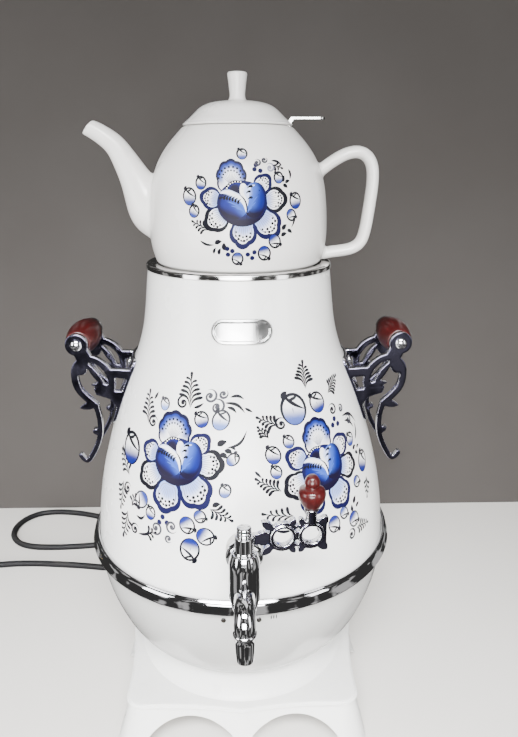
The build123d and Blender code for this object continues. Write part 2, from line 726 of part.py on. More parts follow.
def indicator_lamps():
    """Two small lenses in the bowl's wall, each with its body behind the wall."""
    radius, turns = lamp_places()
    inner = radius - BOWL_WALL - 1.0
    bars = []
    for turn in turns:
        lens = along_y(LAMP_RADIUS, -inner + 1, -radius - 0.7, 0, LAMP_Z)
        lens = fillet(lens.edges().sort_by(Axis.Y)[0], 0.6)
        holder = along_y(LAMP_BODY_RADIUS, -inner + 8, -inner, 0, LAMP_Z)
        bars.append(Rot(0, 0, turn) * (lens + holder))
    return bars


# ------------------------------------------------------------------ tap


def tap_body():
    """Barrel, elbow, nozzle and threaded shank, cast in one, with the waterway bored."""
    barrel_points = [
        (0, BARREL_BOTTOM_Z),
        (KEY_BOTTOM_RADIUS + 2.0, BARREL_BOTTOM_Z),
        (BARREL_RADIUS - 0.6, BARREL_BOTTOM_Z + 8.0),
        (BARREL_RADIUS, BARREL_BOTTOM_Z + 11.0),
        (BARREL_RADIUS, BARREL_TOP_Z - 9.5),
    ]
    shoulder_end = (KEY_TOP_RADIUS + 1.6, 0, BARREL_TOP_Z)
    middle = (BARREL_RADIUS - 0.9, 0, BARREL_TOP_Z - 4.2)
    shoulder = ThreePointArc((BARREL_RADIUS, 0, BARREL_TOP_Z - 9.5), middle, shoulder_end)
    axis_line = Polyline(shoulder_end, (0, 0, BARREL_TOP_Z), (0, 0, BARREL_BOTTOM_Z))
    barrel = ring_solid(Polyline(at_r(barrel_points)) + shoulder + axis_line)
    barrel = Pos(TAP_X, -TAP_REACH, 0) * barrel

    back = TAP_REACH - BARREL_RADIUS + 3.0
    shank = along_y(SHANK_RADIUS, -TAP_BACK, -back, TAP_X, TAP_Z)
    thread = along_y(SHANK_THREAD_RADIUS, -THREAD_START, -TAP_BACK - 0.01, TAP_X, TAP_Z)
    flange = along_y(TAP_ROSETTE_RADIUS, -TAP_BACK, -TAP_BACK - 3.0, TAP_X, TAP_Z)
    cone = Pos(TAP_X, -TAP_BACK - 3.0, TAP_Z) * Rot(90, 0, 0) * flange_cone()
    spout_path, spout = spout_solid(ELBOW_RADIUS)
    nozzle = nozzle_solid()
    body = barrel + shank + thread + flange + cone + spout + nozzle

    bore_path, bore = spout_solid(WATERWAY_RADIUS)
    body -= bore
    nozzle_y = -TAP_REACH - NOZZLE_REACH
    body -= cylinder(WATERWAY_RADIUS, NOZZLE_BOTTOM_Z - 1, TAP_Z - NOZZLE_BEND, TAP_X, nozzle_y)
    body -= along_y(WATERWAY_RADIUS, -THREAD_START, -TAP_REACH, TAP_X, TAP_Z)
    body -= key_cone(RUNNING, BARREL_BOTTOM_Z + 3.0, BARREL_TOP_Z)
    body -= cylinder(3.0 + RUNNING, BARREL_BOTTOM_Z, BARREL_BOTTOM_Z + 3.0, TAP_X, -TAP_REACH)
    return body


CASING_AT_TAP = edge_at(line_of(CASING_OUTLINE), TAP_Z)[0]
TAP_BACK = CASING_AT_TAP + 6.0  # the flange's back, clear of the sloping wall
THREAD_START = CASING_AT_TAP - 16.0


def flange_cone():
    return Cone(TAP_ROSETTE_RADIUS - 2.0, SHANK_RADIUS, 5.0, align=(Align.CENTER, Align.CENTER, Align.MIN))


def spout_solid(radius):
    """The elbow from the barrel's front down to the nozzle."""
    start = (TAP_X, -TAP_REACH, TAP_Z)
    corner = (TAP_X, -TAP_REACH - NOZZLE_REACH, TAP_Z)
    end = (TAP_X, -TAP_REACH - NOZZLE_REACH, TAP_Z - NOZZLE_BEND - 1.0)
    path = FilletPolyline(start, corner, end, radius=NOZZLE_BEND)
    return path, sweep(Plane(path @ 0, z_dir=path % 0) * Circle(radius), path)


def nozzle_solid():
    """The nozzle: a bead under the elbow, then a pipe that narrows to a rounded lip."""
    top = TAP_Z - NOZZLE_BEND
    profile = [
        (0, top),
        (ELBOW_RADIUS, top),
        (ELBOW_RADIUS + 0.7, top - 0.7),
        (ELBOW_RADIUS + 0.7, top - 2.0),
        (NOZZLE_TOP_RADIUS, top - 2.8),
        (NOZZLE_END_RADIUS, NOZZLE_BOTTOM_Z + 1.0),
        (NOZZLE_END_RADIUS - 0.8, NOZZLE_BOTTOM_Z),
        (0, NOZZLE_BOTTOM_Z),
    ]
    return Pos(TAP_X, -TAP_REACH - NOZZLE_REACH, 0) * polygon_ring(profile)


def key_cone(grow, bottom, top):
    """The tapered plug of the key, or with grow its seat in the barrel."""
    slope = (KEY_TOP_RADIUS - KEY_BOTTOM_RADIUS) / (BARREL_TOP_Z - BARREL_BOTTOM_Z - 3.0)
    low = KEY_BOTTOM_RADIUS + slope * (bottom - BARREL_BOTTOM_Z - 3.0) + grow
    high = KEY_BOTTOM_RADIUS + slope * (top - BARREL_BOTTOM_Z - 3.0) + grow
    profile = [(0, bottom), (low, bottom), (high, top), (0, top)]
    return Pos(TAP_X, -TAP_REACH, 0) * polygon_ring(profile)


def wall_washer(radius, bore, start, end):
    """A round packing along Y, cut to the slope and curve of the walls it lies between."""
    bar = along_y(radius, -start, -end, TAP_X, TAP_Z)
    return bar - along_y(bore, -start, -end, TAP_X, TAP_Z)


def tap_gasket():
    """The wedge-shaped seal between the tap's flange and the casing."""
    ring = wall_washer(TAP_ROSETTE_RADIUS, SHANK_THREAD_RADIUS + RUNNING, CASING_AT_TAP - 14, TAP_BACK)
    return ring - vessel_solid(CASING_OUTLINE, SEAT)


def tank_sleeve():
    """The packing round the thread between casing and tank."""
    radius = TAP_ROSETTE_RADIUS - 1.0
    ring = wall_washer(radius, SHANK_THREAD_RADIUS + RUNNING, CASING_AT_TAP - 16, CASING_AT_TAP + 6)
    between = vessel_solid(CASING_OUTLINE, -CASING_WALL - SEAT)
    return (ring & between) - vessel_solid(CASING_OUTLINE, TANK_SHIFT + SEAT)


def tap_backnut():
    """The nut inside the tank that clamps the tap, over a packing cut to the wall's slope."""
    nut_front = CASING_AT_TAP - 12.0
    nut_back = THREAD_START + 0.5
    nut = Pos(TAP_X, -nut_back, TAP_Z) * Rot(90, 0, 0) * extrude(
        RegularPolygon(12.0, 6), nut_front - nut_back
    )
    bore = along_y(SHANK_THREAD_RADIUS + RUNNING, -nut_back, -nut_front, TAP_X, TAP_Z)
    return nut - bore


def inner_washer():
    nut_front = CASING_AT_TAP - 12.0
    bar = along_y(TAP_ROSETTE_RADIUS - 1.0, -nut_front, -CASING_AT_TAP, TAP_X, TAP_Z)
    bar -= along_y(SHANK_THREAD_RADIUS + RUNNING, -nut_front, -CASING_AT_TAP, TAP_X, TAP_Z)
    inside = vessel_solid(CASING_OUTLINE, TANK_SHIFT - TANK_WALL - SEAT)
    return bar & inside


def tap_key():
    """The tapered plug with its cross port, the round neck above and the stub below."""
    plug_bottom = BARREL_BOTTOM_Z + 3.0 + 0.1
    body = key_cone(0, plug_bottom, BARREL_TOP_Z)
    body += cylinder(KEY_NECK_RADIUS, BARREL_TOP_Z, KEY_NECK_TOP_Z, TAP_X, -TAP_REACH)
    body += cylinder(3.0, BARREL_BOTTOM_Z - 5.4, plug_bottom, TAP_X, -TAP_REACH)
    port = Rot(0, 90, 0) * extrude(Circle(WATERWAY_RADIUS - 0.4), 2 * BARREL_RADIUS, both=True)
    return body - Pos(TAP_X, -TAP_REACH, TAP_Z) * Rot(0, 0, LEVER_TURN) * port


def key_cap():
    """The ringed chrome nut on top of the key."""
    z = KEY_NECK_TOP_Z
    r = KEY_CAP_RADIUS
    profile = [(0, z), (r, z), (r, z + 1.5), (r - 0.7, z + 1.9), (r, z + 2.3), (r, z + 3.5)]
    profile += [(r - 0.7, z + 3.9), (r, z + 4.3), (r, KEY_CAP_TOP_Z - 0.8), (r - 0.8, KEY_CAP_TOP_Z)]
    profile += [(0, KEY_CAP_TOP_Z)]
    return Pos(TAP_X, -TAP_REACH, 0) * polygon_ring(profile)


def key_washer():
    z = BARREL_BOTTOM_Z
    return tube(KEY_BOTTOM_RADIUS + 1.4, 3.0 + RUNNING, z - 1.3, z - 0.1, TAP_X, -TAP_REACH)


def key_nut():
    z = BARREL_BOTTOM_Z
    nut = hexagon(9.0, z - 4.6, z - 1.3, TAP_X, -TAP_REACH)
    return nut - cylinder(3.0 + RUNNING, z - 4.6, z - 1.3, TAP_X, -TAP_REACH)


def lever_frame():
    return Pos(TAP_X, -TAP_REACH, 0) * Rot(0, 0, LEVER_TURN)


def leaf(base, tip, width):
    """A pointed leaf from base to tip, as two arcs."""
    bx, by = base
    tx, ty = tip
    length = sqrt((tx - bx) ** 2 + (ty - by) ** 2)
    nx, ny = -(ty - by) / length * width / 2, (tx - bx) / length * width / 2
    mx, my = (bx + tx) / 2, (by + ty) / 2
    left = ThreePointArc(base, (mx + nx, my + ny), tip)
    right = ThreePointArc(tip, (mx - nx, my - ny), base)
    return make_face(left + right)


def lever_sketch():
    """The lever's cast outline, flat, along X from the key's axis and Y for height."""
    near, far = LEVER_RINGS
    h = LEVER_HALF_HEIGHT
    middle = (near + far) / 2
    outline = Sketch() + [Pos(at, 0) * Circle(LEVER_RING_RADIUS) for at in LEVER_RINGS]
    outline += Pos(middle, 0) * Rectangle(far - near, 1.5 * LEVER_RING_RADIUS)
    outline += Pos((far + LEVER_END) / 2, 0) * Rectangle(LEVER_END - far, 1.3 * LEVER_RING_RADIUS)
    outline += Pos((KEY_NECK_RADIUS + near) / 2, 0) * Rectangle(near - KEY_NECK_RADIUS, 7.0)
    outline += Pos(near - LEVER_RING_RADIUS - 2.4, 0) * Circle(4.8)
    for up in (-1, 1):
        outline += leaf((near - 6, up * 5.5), (near - 13.5, up * h), 5.0)
        outline += leaf((near + 4.5, up * 7), (middle - 1.2, up * (h + 0.2)), 4.0)
        outline += leaf((far - 4.5, up * 7), (middle + 1.2, up * (h + 0.2)), 4.0)
        outline += leaf((far + 4, up * 4.5), (LEVER_END + 0.6, up * h), 6.0)
    holes = [Pos(at, 0) * Circle(LEVER_HOLE_RADIUS) for at in LEVER_RINGS]
    holes += [Pos(middle, up * 4.3) * Circle(1.5) for up in (-1, 1)]
    return outline - holes


def tap_lever():
    """The ornate cast lever: pierced plate, raised ring borders and the boss on the key."""
    stand_up = lever_frame() * Pos(0, 0, LEVER_Z) * Rot(90, 0, 0)
    plate = extrude(lever_sketch(), LEVER_THICKNESS / 2, both=True)
    for at in LEVER_RINGS:
        border = Circle(LEVER_HOLE_RADIUS + 2.2) - Circle(LEVER_HOLE_RADIUS + 0.5)
        plate += Pos(at, 0) * extrude(border, LEVER_THICKNESS / 2 + 0.8, both=True)
    body = stand_up * plate
    body -= cylinder(KEY_NECK_RADIUS, 200, 300, TAP_X, -TAP_REACH)
    seat_low = LEVER_Z + 0.8 * LEVER_RING_RADIUS
    body += lever_frame() * cylinder(3.6, seat_low, KNOB_BASE_Z - 1.2, KNOB_AT)
    body += lever_frame() * cylinder(4.6, KNOB_BASE_Z - 1.2, KNOB_BASE_Z, KNOB_AT)
    return body


def lever_knob():
    """The turned wooden knob, a wide ball with a small one on top."""
    base = KNOB_BASE_Z
    centre = base + KNOB_HEIGHT - KNOB_TOP_BALL
    waist = (KNOB_WAIST, 0, centre - sqrt(KNOB_TOP_BALL**2 - KNOB_WAIST**2))
    outline = [(r, 0, base + z) for r, z in KNOB_OUTLINE] + [waist]
    closing = Polyline(waist, (0, 0, waist[2]), (0, 0, base), outline[0])
    body = revolve(make_face(Spline(*outline) + closing), Axis.Z)
    body += Pos(0, 0, centre) * Sphere(KNOB_TOP_BALL)
    return lever_frame() * Pos(KNOB_AT, 0, 0) * body


# ------------------------------------------------------------------ side handles


def scroll_stroke(points, width):
    """A flat stroke of one width along a smooth line, with round ends."""
    line = Spline(*points)
    stroke = trace(line, width)
    for end in (points[0], points[-1]):
        stroke += Pos(*end) * Circle(width / 2)
    return stroke


def scroll_sketch():
    """One scroll plate of a handle, flat: X outwards from the vessel's axis, Y for height."""
    shape = Sketch() + Pos(*EYE) * Circle(EYE_RADIUS)
    shape += make_face(Polyline(*SCROLL_NECK, close=True))
    shape += scroll_stroke(SCROLL_OUTER, SCROLL_WIDTH)
    shape += Pos(*SCROLL_BALL) * Circle(SCROLL_BALL_RADIUS)
    shape += scroll_stroke(SCROLL_TAIL, 0.75 * SCROLL_WIDTH)
    shape += scroll_stroke(SCROLL_CURL, 0.68 * SCROLL_WIDTH)
    shape += scroll_stroke(SCROLL_INNER, SCROLL_WIDTH)
    for base, tip, width in SCROLL_LEAVES:
        shape += leaf(base, tip, width)
    shape += Pos(*SCROLL_BEAD) * Circle(0.45 * SCROLL_WIDTH)
    for web in SCROLL_WEBS:
        shape += make_face(Polyline(*web, close=True))
    return shape


def handle_screw_frames():
    """Where the strap's screws pass the casing, square to its wall; both sides of the vessel."""
    frames = []
    line = line_of(CASING_OUTLINE)
    for side in (0, 180):
        for z in HANDLE_SCREW_Z:
            radius, tilt = edge_at(line, z)
            frames.append(Rot(0, 0, side) * Pos(radius, 0, z) * Rot(0, 90 - tilt, 0))
    return frames


def handle_bracket():
    """Both scroll plates and the strap that screws to the casing, cast in one; +X side."""
    flat = extrude(scroll_sketch(), SCROLL_THICKNESS)
    front = Pos(0, -HANDLE_HALF_GAP, 0) * Rot(90, 0, 0) * flat
    body = front + mirror(front, Plane.XZ)
    height = STRAP_TOP_Z - STRAP_BOTTOM_Z
    block = Pos(95, 0, STRAP_BOTTOM_Z + height / 2) * Box(60, 2 * STRAP_HALF_WIDTH, height)
    block = fillet(block.edges().filter_by(Axis.X), 6.0)
    strap = block & vessel_solid(CASING_OUTLINE, STRAP_THICKNESS)
    window = Pos(95, 0, (STRAP_TOP_Z + STRAP_BOTTOM_Z) / 2) * Box(60, 22, 16)
    body = body + strap - window
    body -= vessel_solid(CASING_OUTLINE, SEAT)
    ex, ey = EYE
    bore = ROD_RADIUS + RUNNING
    body -= along_y(bore, HANDLE_HALF_GAP + 10, -HANDLE_HALF_GAP - 10, ex, ey)
    for frame in handle_screw_frames()[:2]:
        body -= frame * Cylinder(HANDLE_SCREW_RADIUS + CLEAR, 24)
        seat = extrude(Circle(HANDLE_SCREW_HEAD + CLEAR), 8)
        body -= frame * Pos(0, 0, STRAP_SEAT) * seat
    return body


STRAP_SEAT = 2.0  # the screw heads bear on flats this far out from the casing


def handle_screws():
    """The screws of both handles, each held by a thin nut inside the casing."""
    screws = []
    for frame in handle_screw_frames():
        head = Pos(0, 0, STRAP_SEAT) * extrude(Circle(HANDLE_SCREW_HEAD), 2.2)
        head = fillet(head.edges().sort_by(Axis.Z)[-1], 1.2)
        shank = Pos(0, 0, -NUT_LOW) * extrude(Circle(HANDLE_SCREW_RADIUS), STRAP_SEAT + NUT_LOW)
        screws.append(frame * (head + shank))
    return screws


NUT_THICKNESS = 1.8
NUT_LOW = CASING_WALL + 0.3 + NUT_THICKNESS


def handle_nuts():
    nuts = []
    for frame in handle_screw_frames():
        nut = extrude(RegularPolygon(4.0, 6) - Circle(HANDLE_SCREW_RADIUS + RUNNING), NUT_THICKNESS)
        nuts.append(frame * Pos(0, 0, -NUT_LOW) * nut)
    return nuts


def side_grip():
    """The turned wooden grip between the scroll plates; +X side."""
    half = HANDLE_HALF_GAP - RUNNING
    end = GRIP_END_RADIUS
    side = ThreePointArc((end, 0, -half), (GRIP_MIDDLE_RADIUS, 0, 0), (end, 0, half))
    closing = Polyline((end, 0, half), (0, 0, half), (0, 0, -half), (end, 0, -half))
    body = revolve(make_face(side + closing), Axis.Z)
    body = fillet(body.edges().filter_by(GeomType.CIRCLE), 1.2)
    body -= cylinder(ROD_RADIUS + RUNNING, -half, half)
    return Pos(EYE[0], 0, EYE[1]) * Rot(90, 0, 0) * body


def grip_rod():
    """The through-bolt of a grip, with a domed and slotted head at each end; +X side."""
    reach = HANDLE_HALF_GAP + SCROLL_THICKNESS
    rod = cylinder(ROD_RADIUS, -reach, reach)
    slot = Pos(0, 0, reach + SCREW_DOME_HEIGHT) * Box(10, 1.1, 2.0)
    base = cylinder(SCREW_DOME_RADIUS, reach, reach + 0.8)
    dome_radius = (SCREW_DOME_RADIUS**2 + (SCREW_DOME_HEIGHT - 0.8) ** 2) / 2 / (SCREW_DOME_HEIGHT - 0.8)
    ball = Pos(0, 0, reach + SCREW_DOME_HEIGHT - dome_radius) * Sphere(dome_radius)
    head = base + (ball & cylinder(SCREW_DOME_RADIUS, reach + 0.8, reach + SCREW_DOME_HEIGHT)) - slot
    rod += head + mirror(head, Plane.XY)
    return Pos(EYE[0], 0, EYE[1]) * Rot(90, 0, 0) * rod


# ------------------------------------------------------------------ name plate


def name_plate():
    """The bare plate: a raised rim round a field, bent to the casing."""
    pill = SlotOverall(PLATE_WIDTH, PLATE_HEIGHT)
    field = SlotOverall(PLATE_WIDTH - 4.0, PLATE_HEIGHT - 4.0)
    place = Pos(PLATE_X, -60, PLATE_Z) * Rot(90, 0, 0)
    full = place * extrude(pill, 40)
    middle = place * extrude(field, 40)
    base = full & vessel_solid(CASING_OUTLINE, PLATE_THICKNESS)
    border = (full - middle) & vessel_solid(CASING_OUTLINE, PLATE_THICKNESS + PLATE_RAISED)
    return base + border - vessel_solid(CASING_OUTLINE, SEAT)


# ------------------------------------------------------------------ teapot

POT_FOOT_Z = STAND_TOP_Z
POT_BASE = (POT_BASE_RADIUS, POT_FOOT_Z + POT_FOOT_HEIGHT + 2.0)
POT_GALLERY_Z = POT_MOUTH_Z - POT_GALLERY_DEPTH  # the ledge that the infuser hangs on


def pot_line(shift):
    """The teapot's side from the base to the lip of its mouth, moved in by shift."""
    lip = (POT_MOUTH_RADIUS + 1.6, POT_MOUTH_Z - 1.4)
    return Spline(*[(r - shift, 0, z) for r, z in [POT_BASE] + POT_OUTLINE + [lip]])


def pot_outside(grow=0.0):
    """The teapot's full body without spout and handle, moved out by grow."""
    side = pot_line(-grow)
    base_z = POT_FOOT_Z + POT_FOOT_HEIGHT
    foot_out = (POT_FOOT_RADIUS + 0.8, 0, base_z)
    low = side @ 0
    under = ThreePointArc(foot_out, ((foot_out[0] + low.X) / 2 + 0.7, 0, base_z + 0.5), low)
    lip = side @ 1
    top = [lip, (POT_MOUTH_RADIUS + grow, 0, POT_MOUTH_Z), (0, 0, POT_MOUTH_Z), (0, 0, base_z), foot_out]
    body = revolve(make_face(under + side + Polyline(*top)), Axis.Z)
    foot = tube(POT_FOOT_RADIUS, POT_FOOT_RADIUS - POT_FOOT_WIDTH, POT_FOOT_Z, base_z)
    return body + foot


def pot_inside():
    """The hollow: under the mouth a ledge stands in from the wall to carry the infuser."""
    under_ledge = POT_GALLERY_Z - POT_LEDGE
    reach = edge_at(pot_line(0), under_ledge)[0]
    side = line_of([POT_BASE] + POT_OUTLINE + [(reach, under_ledge)], -POT_WALL)
    floor = POT_FOOT_Z + POT_FOOT_HEIGHT + POT_WALL
    low, high = side @ 0, side @ 1
    corner = (low.X - 4.0, 0, floor)
    points = [(high.X, 0, high.Z), (POT_BORE_RADIUS, 0, high.Z), (POT_BORE_RADIUS, 0, POT_GALLERY_Z)]
    points += [(POT_GALLERY_RADIUS, 0, POT_GALLERY_Z), (POT_GALLERY_RADIUS, 0, POT_MOUTH_Z)]
    points += [(0, 0, POT_MOUTH_Z), (0, 0, floor), corner]
    rest = Polyline(*points)
    under = Line(corner, low)
    return revolve(make_face(side + rest + under), Axis.Z)


# spout sections: place of the centre, half height, half width, lean of the normal from up
SPOUT_SECTIONS = [
    (-59.0, 429.0, 24.5, 20.0, 68.0),
    (-71.0, 436.5, 16.6, 15.0, 38.0),
    (-77.6, 450.5, 12.0, 11.5, 32.0),
    (-86.6, 467.2, 9.1, 9.0, 38.0),
    (-95.2, 477.8, 7.6, 7.6, 52.0),
    (-104.6, 484.0, 6.8, 6.8, 58.0),
    (-110.6, 487.0, 6.5, 6.3, 48.0),
]


def spout(scale, sections):
    """The spout as a smooth loft through oval sections that lean over towards the tip."""
    rings = []
    for x, z, tall, wide, lean in sections:
        direction = (-sin(radians(lean)), 0, cos(radians(lean)))
        plane = Plane((x, 0, z), x_dir=(0, 1, 0), z_dir=direction)
        rings.append(plane * Ellipse(wide * scale, tall * scale))
    return loft(rings)


POT_HANDLE_PATH = [
    (52.0, 447.0),
    (68.0, 463.0),
    (92.0, 474.0),
    (103.0, 462.5),
    (100.2, 432.0),
    (95.2, 401.0),
    (60.5, 393.2),
]
POT_HANDLE_BENDS = [30.0, 12.0, 14.0, 60.0, 12.0]


def teapot_handle():
    """The ear-shaped handle: straight runs with round bends, of oval section, luted to the pot."""
    points = [(x, 0, z) for x, z in POT_HANDLE_PATH]
    path = FilletPolyline(*points, radius=POT_HANDLE_BENDS)
    across = Plane(path @ 0, x_dir=(0, 1, 0), z_dir=path % 0)
    ear = sweep(across * Ellipse(POT_HANDLE_WIDTH / 2, POT_HANDLE_DEPTH / 2), path)
    return ear - pot_outside(SEAT)


def tab_notch(extra):
    """The notch in mouth and lid that the infuser's tab comes out of."""
    width = TAB_WIDTH + 2 * TAB_NOTCH_CLEAR
    low = POT_GALLERY_Z
    height = TAB_Z + TAB_THICKNESS + extra - low
    return Pos(POT_BORE_RADIUS + 10, 0, low + height / 2) * Box(20, width, height)


def spout_bore():
    """The channel of the spout, carried on past its lip."""
    x, z, tall, wide, lean = SPOUT_SECTIONS[-1]
    reach = 3.0
    beyond = (x - reach * sin(radians(lean)), z + reach * cos(radians(lean)), tall, wide, lean)
    return spout(SPOUT_BORE, SPOUT_SECTIONS[:-1] + [beyond])


def teapot_spout():
    """The hollow spout, luted to the pot over its strainer holes."""
    return spout(1.0, SPOUT_SECTIONS) - spout_bore() - pot_outside(SEAT)


def strainer_holes():
    """Where the pot's wall is pierced behind the spout: one hole with six round it."""
    x, z = SPOUT_SECTIONS[0][:2]
    centres = [(0.0, 0.0)] + screw_places(STRAINER_PITCH, 6, 0.0)
    bar = extrude(Circle(STRAINER_RADIUS), 2 * POT_WALL, both=True)
    return [Pos(x - POT_WALL, y, z + STRAINER_RISE + up) * Rot(0, 90, 0) * bar for y, up in centres]


def teapot_body():
    body = pot_outside() - pot_inside()
    for hole in strainer_holes():
        body -= hole
    return body - tab_notch(0)


def infuser():
    """The steel tea infuser: a cup hung by its rim in the mouth, with a tab to lift it."""
    rest = POT_GALLERY_Z + REST
    t = INFUSER_WALL
    rim = POT_GALLERY_RADIUS - 0.5
    floor = rest - INFUSER_DEPTH
    profile = [
        (rim, rest),
        (rim, rest + t),
        (INFUSER_RADIUS - t, rest + t),
        (INFUSER_RADIUS - t, floor + t),
        (0, floor + t),
        (0, floor),
        (INFUSER_RADIUS, floor),
        (INFUSER_RADIUS, rest),
    ]
    body = polygon_ring(profile)
    across = extrude(Circle(INFUSER_HOLE_RADIUS), INFUSER_RADIUS + 5)
    for row, height in enumerate(INFUSER_HOLE_ROWS):
        for i in range(INFUSER_HOLES):
            turn = 360.0 / INFUSER_HOLES * (i + row / 2)
            body -= Pos(0, 0, floor + height) * Rot(0, 0, turn) * Rot(0, 90, 0) * across
    for radius, count in ((9.0, 6), (18.0, 12)):
        for x, y in screw_places(radius, count, 0.0):
            body -= cylinder(INFUSER_HOLE_RADIUS, floor, floor + t, x, y)
    start, bend = rim - 1.5, POT_MOUTH_RADIUS - 1.0
    side = [(start, rest), (start, rest + TAB_THICKNESS), (bend, TAB_Z + TAB_THICKNESS)]
    side += [(TAB_END_X, TAB_Z + TAB_THICKNESS), (TAB_END_X, TAB_Z), (bend + 2.0, TAB_Z), (start + 2.4, rest)]
    face = make_face(Polyline(*at_r(side), close=True))
    tab = Pos(0, TAB_WIDTH / 2, 0) * extrude(face, TAB_WIDTH, dir=(0, -1, 0))
    tab = fillet(tab.edges().filter_by(Axis.Z).sort_by(Axis.X)[-2:], 4.0)
    return body + tab


LID_REST_Z = POT_MOUTH_Z + 0.4
LID_DOME_Z = LID_REST_Z + LID_RISE
LID_TOP_Z = LID_DOME_Z + LID_KNOB_HEIGHT


def teapot_lid():
    """The lid: a low dome with a step at its edge, a flange inside and a trumpet knob."""
    z = LID_REST_Z
    shoulder = (LID_RADIUS - 1.8, 0, z + LID_EDGE + 1.0)
    neck = (KNOB_NECK_RADIUS + 3.2, 0, LID_DOME_Z)
    dome = ThreePointArc(shoulder, (LID_RADIUS * 0.68, 0, z + 0.73 * (LID_DOME_Z - z)), neck)
    knob_low = (KNOB_NECK_RADIUS, 0, LID_DOME_Z + 2.4)
    fillet_line = ThreePointArc(neck, (KNOB_NECK_RADIUS + 0.8, 0, LID_DOME_Z + 0.8), knob_low)
    knob_high = (KNOB_RIM_RADIUS, 0, LID_TOP_Z - 2.0)
    flare = ThreePointArc(knob_low, (KNOB_NECK_RADIUS + 0.7, 0, LID_TOP_Z - 10.0), knob_high)
    crown_end = (KNOB_RIM_RADIUS - 2.0, 0, LID_TOP_Z)
    crown = ThreePointArc(knob_high, (KNOB_RIM_RADIUS - 0.5, 0, LID_TOP_Z - 0.5), crown_end)
    flange = INFUSER_RADIUS - INFUSER_WALL - 0.6
    inner = flange - LID_WALL
    under = [
        (KNOB_RIM_RADIUS - 2.0, LID_TOP_Z),
        (0, LID_TOP_Z),
        (0, LID_DOME_Z - LID_WALL),
        (KNOB_NECK_RADIUS + 3.0, LID_DOME_Z - LID_WALL),
        (inner, z + LID_EDGE + 1.0),
        (inner, z - LID_FLANGE_DEPTH),
        (flange, z - LID_FLANGE_DEPTH),
        (flange, z),
        (LID_RADIUS, z),
        (LID_RADIUS, z + LID_EDGE),
        (LID_RADIUS - 1.8, z + LID_EDGE + 1.0),
    ]
    outline = dome + fillet_line + flare + crown + Polyline(at_r(under))
    return ring_solid(outline) - tab_notch(0.6)


# ------------------------------------------------------------------ mains cord

BOWL_AT_GLAND = edge_at(line_of(BOWL_LINE), GLAND_Z)


def gland_frame():
    """At the bowl's wall where the cord leaves it, Z outwards and square to the wall."""
    radius, tilt = BOWL_AT_GLAND
    return Rot(0, 0, GLAND_ANGLE) * Pos(radius, 0, GLAND_Z) * Rot(0, 90 + tilt, 0)


def cord_gland():
    """The strain relief: a flange on the bowl, a stub in its hole and a tapered sleeve."""
    stub = Pos(0, 0, -8) * extrude(Circle(GLAND_RADIUS - 2.5), 8 + GLAND_SEAT)
    flange = Pos(0, 0, GLAND_SEAT) * extrude(Circle(GLAND_RADIUS), GLAND_FLANGE)
    lock = Pos(0, 0, -5.5) * extrude(Circle(GLAND_RADIUS - 0.5), 2.5)
    cone_low = Pos(0, 0, GLAND_SEAT + GLAND_FLANGE)
    sleeve = cone_low * Cone(
        GLAND_RADIUS - 2.0, CORD_RADIUS + 1.2, RELIEF_LENGTH, align=(Align.CENTER, Align.CENTER, Align.MIN)
    )
    return gland_frame() * (stub + flange + lock + sleeve)


GLAND_SEAT = 0.35  # the flat flange stands this far off the curved wall


def cord_points():
    """The cord's route: out of the gland, down, along the floor in one open loop, and away."""
    frame = gland_frame()
    exit_z = GLAND_SEAT + GLAND_FLANGE + RELIEF_LENGTH
    start = (frame * Pos(0, 0, exit_z)).position
    second = (frame * Pos(0, 0, exit_z + 28)).position
    floor = CORD_RADIUS + 0.1
    down = [(94.0, 183.0, 50.0), (96.0, 216.0, 20.0)]
    away = [(78, 246), (38, 258), (-14, 253), (-66, 242), (-118, 240), (-170, 258), (-222, 280)]
    loop = [(-273, 284), (-298, 259), (-298, 223), (-273, 198), (-222, 196), (-168, 202)]
    back = [(-112, 204), (-58, 208), (-5, 206), (20, 181), (20, 146), (-5, 122)]
    tail = [(-52, 122), (-104, 138), (-158, 152), (-212, 160), (-262, 164), (-302, 160)]
    flat = [(x, y, floor) for x, y in away + loop + back + tail]
    plug_end = [(-332.0, 153.0, PLUG_AXIS_Z), (-354.0, 147.0, PLUG_AXIS_Z)]
    return [tuple(start), tuple(second)] + down + flat + plug_end


def arc_radii(points):
    """For each corner, 0.45 of the shorter run over the tangent of half the turn."""
    radii = []
    for a, b, c in zip(points, points[1:], points[2:]):
        back, ahead = Vector(*b) - Vector(*a), Vector(*c) - Vector(*b)
        turn = radians(back.get_angle(ahead))
        radii.append(0.45 * min(back.length, ahead.length) * cos(turn / 2) / sin(turn / 2))
    return radii


def mains_cord():
    points = cord_points()
    radii = arc_radii(points)
    path = FilletPolyline(*points, radius=radii)
    print("cord radii", [round(r) for r in radii], "length", round(path.length))
    body = sweep(Plane(path @ 0, z_dir=path % 0) * Circle(CORD_RADIUS), path)
    print("cord volume / section x length", body.volume / (3.14159265 * CORD_RADIUS**2 * path.length))
    return body


def plug_frame():
    """At the plug's cord end, Z towards the pins and level with the floor."""
    before, last = cord_points()[-2:]
    heading = degrees(atan2(last[1] - before[1], last[0] - before[0]))
    return Pos(last[0], last[1], last[2]) * Rot(0, 0, heading) * Rot(0, 90, 0)


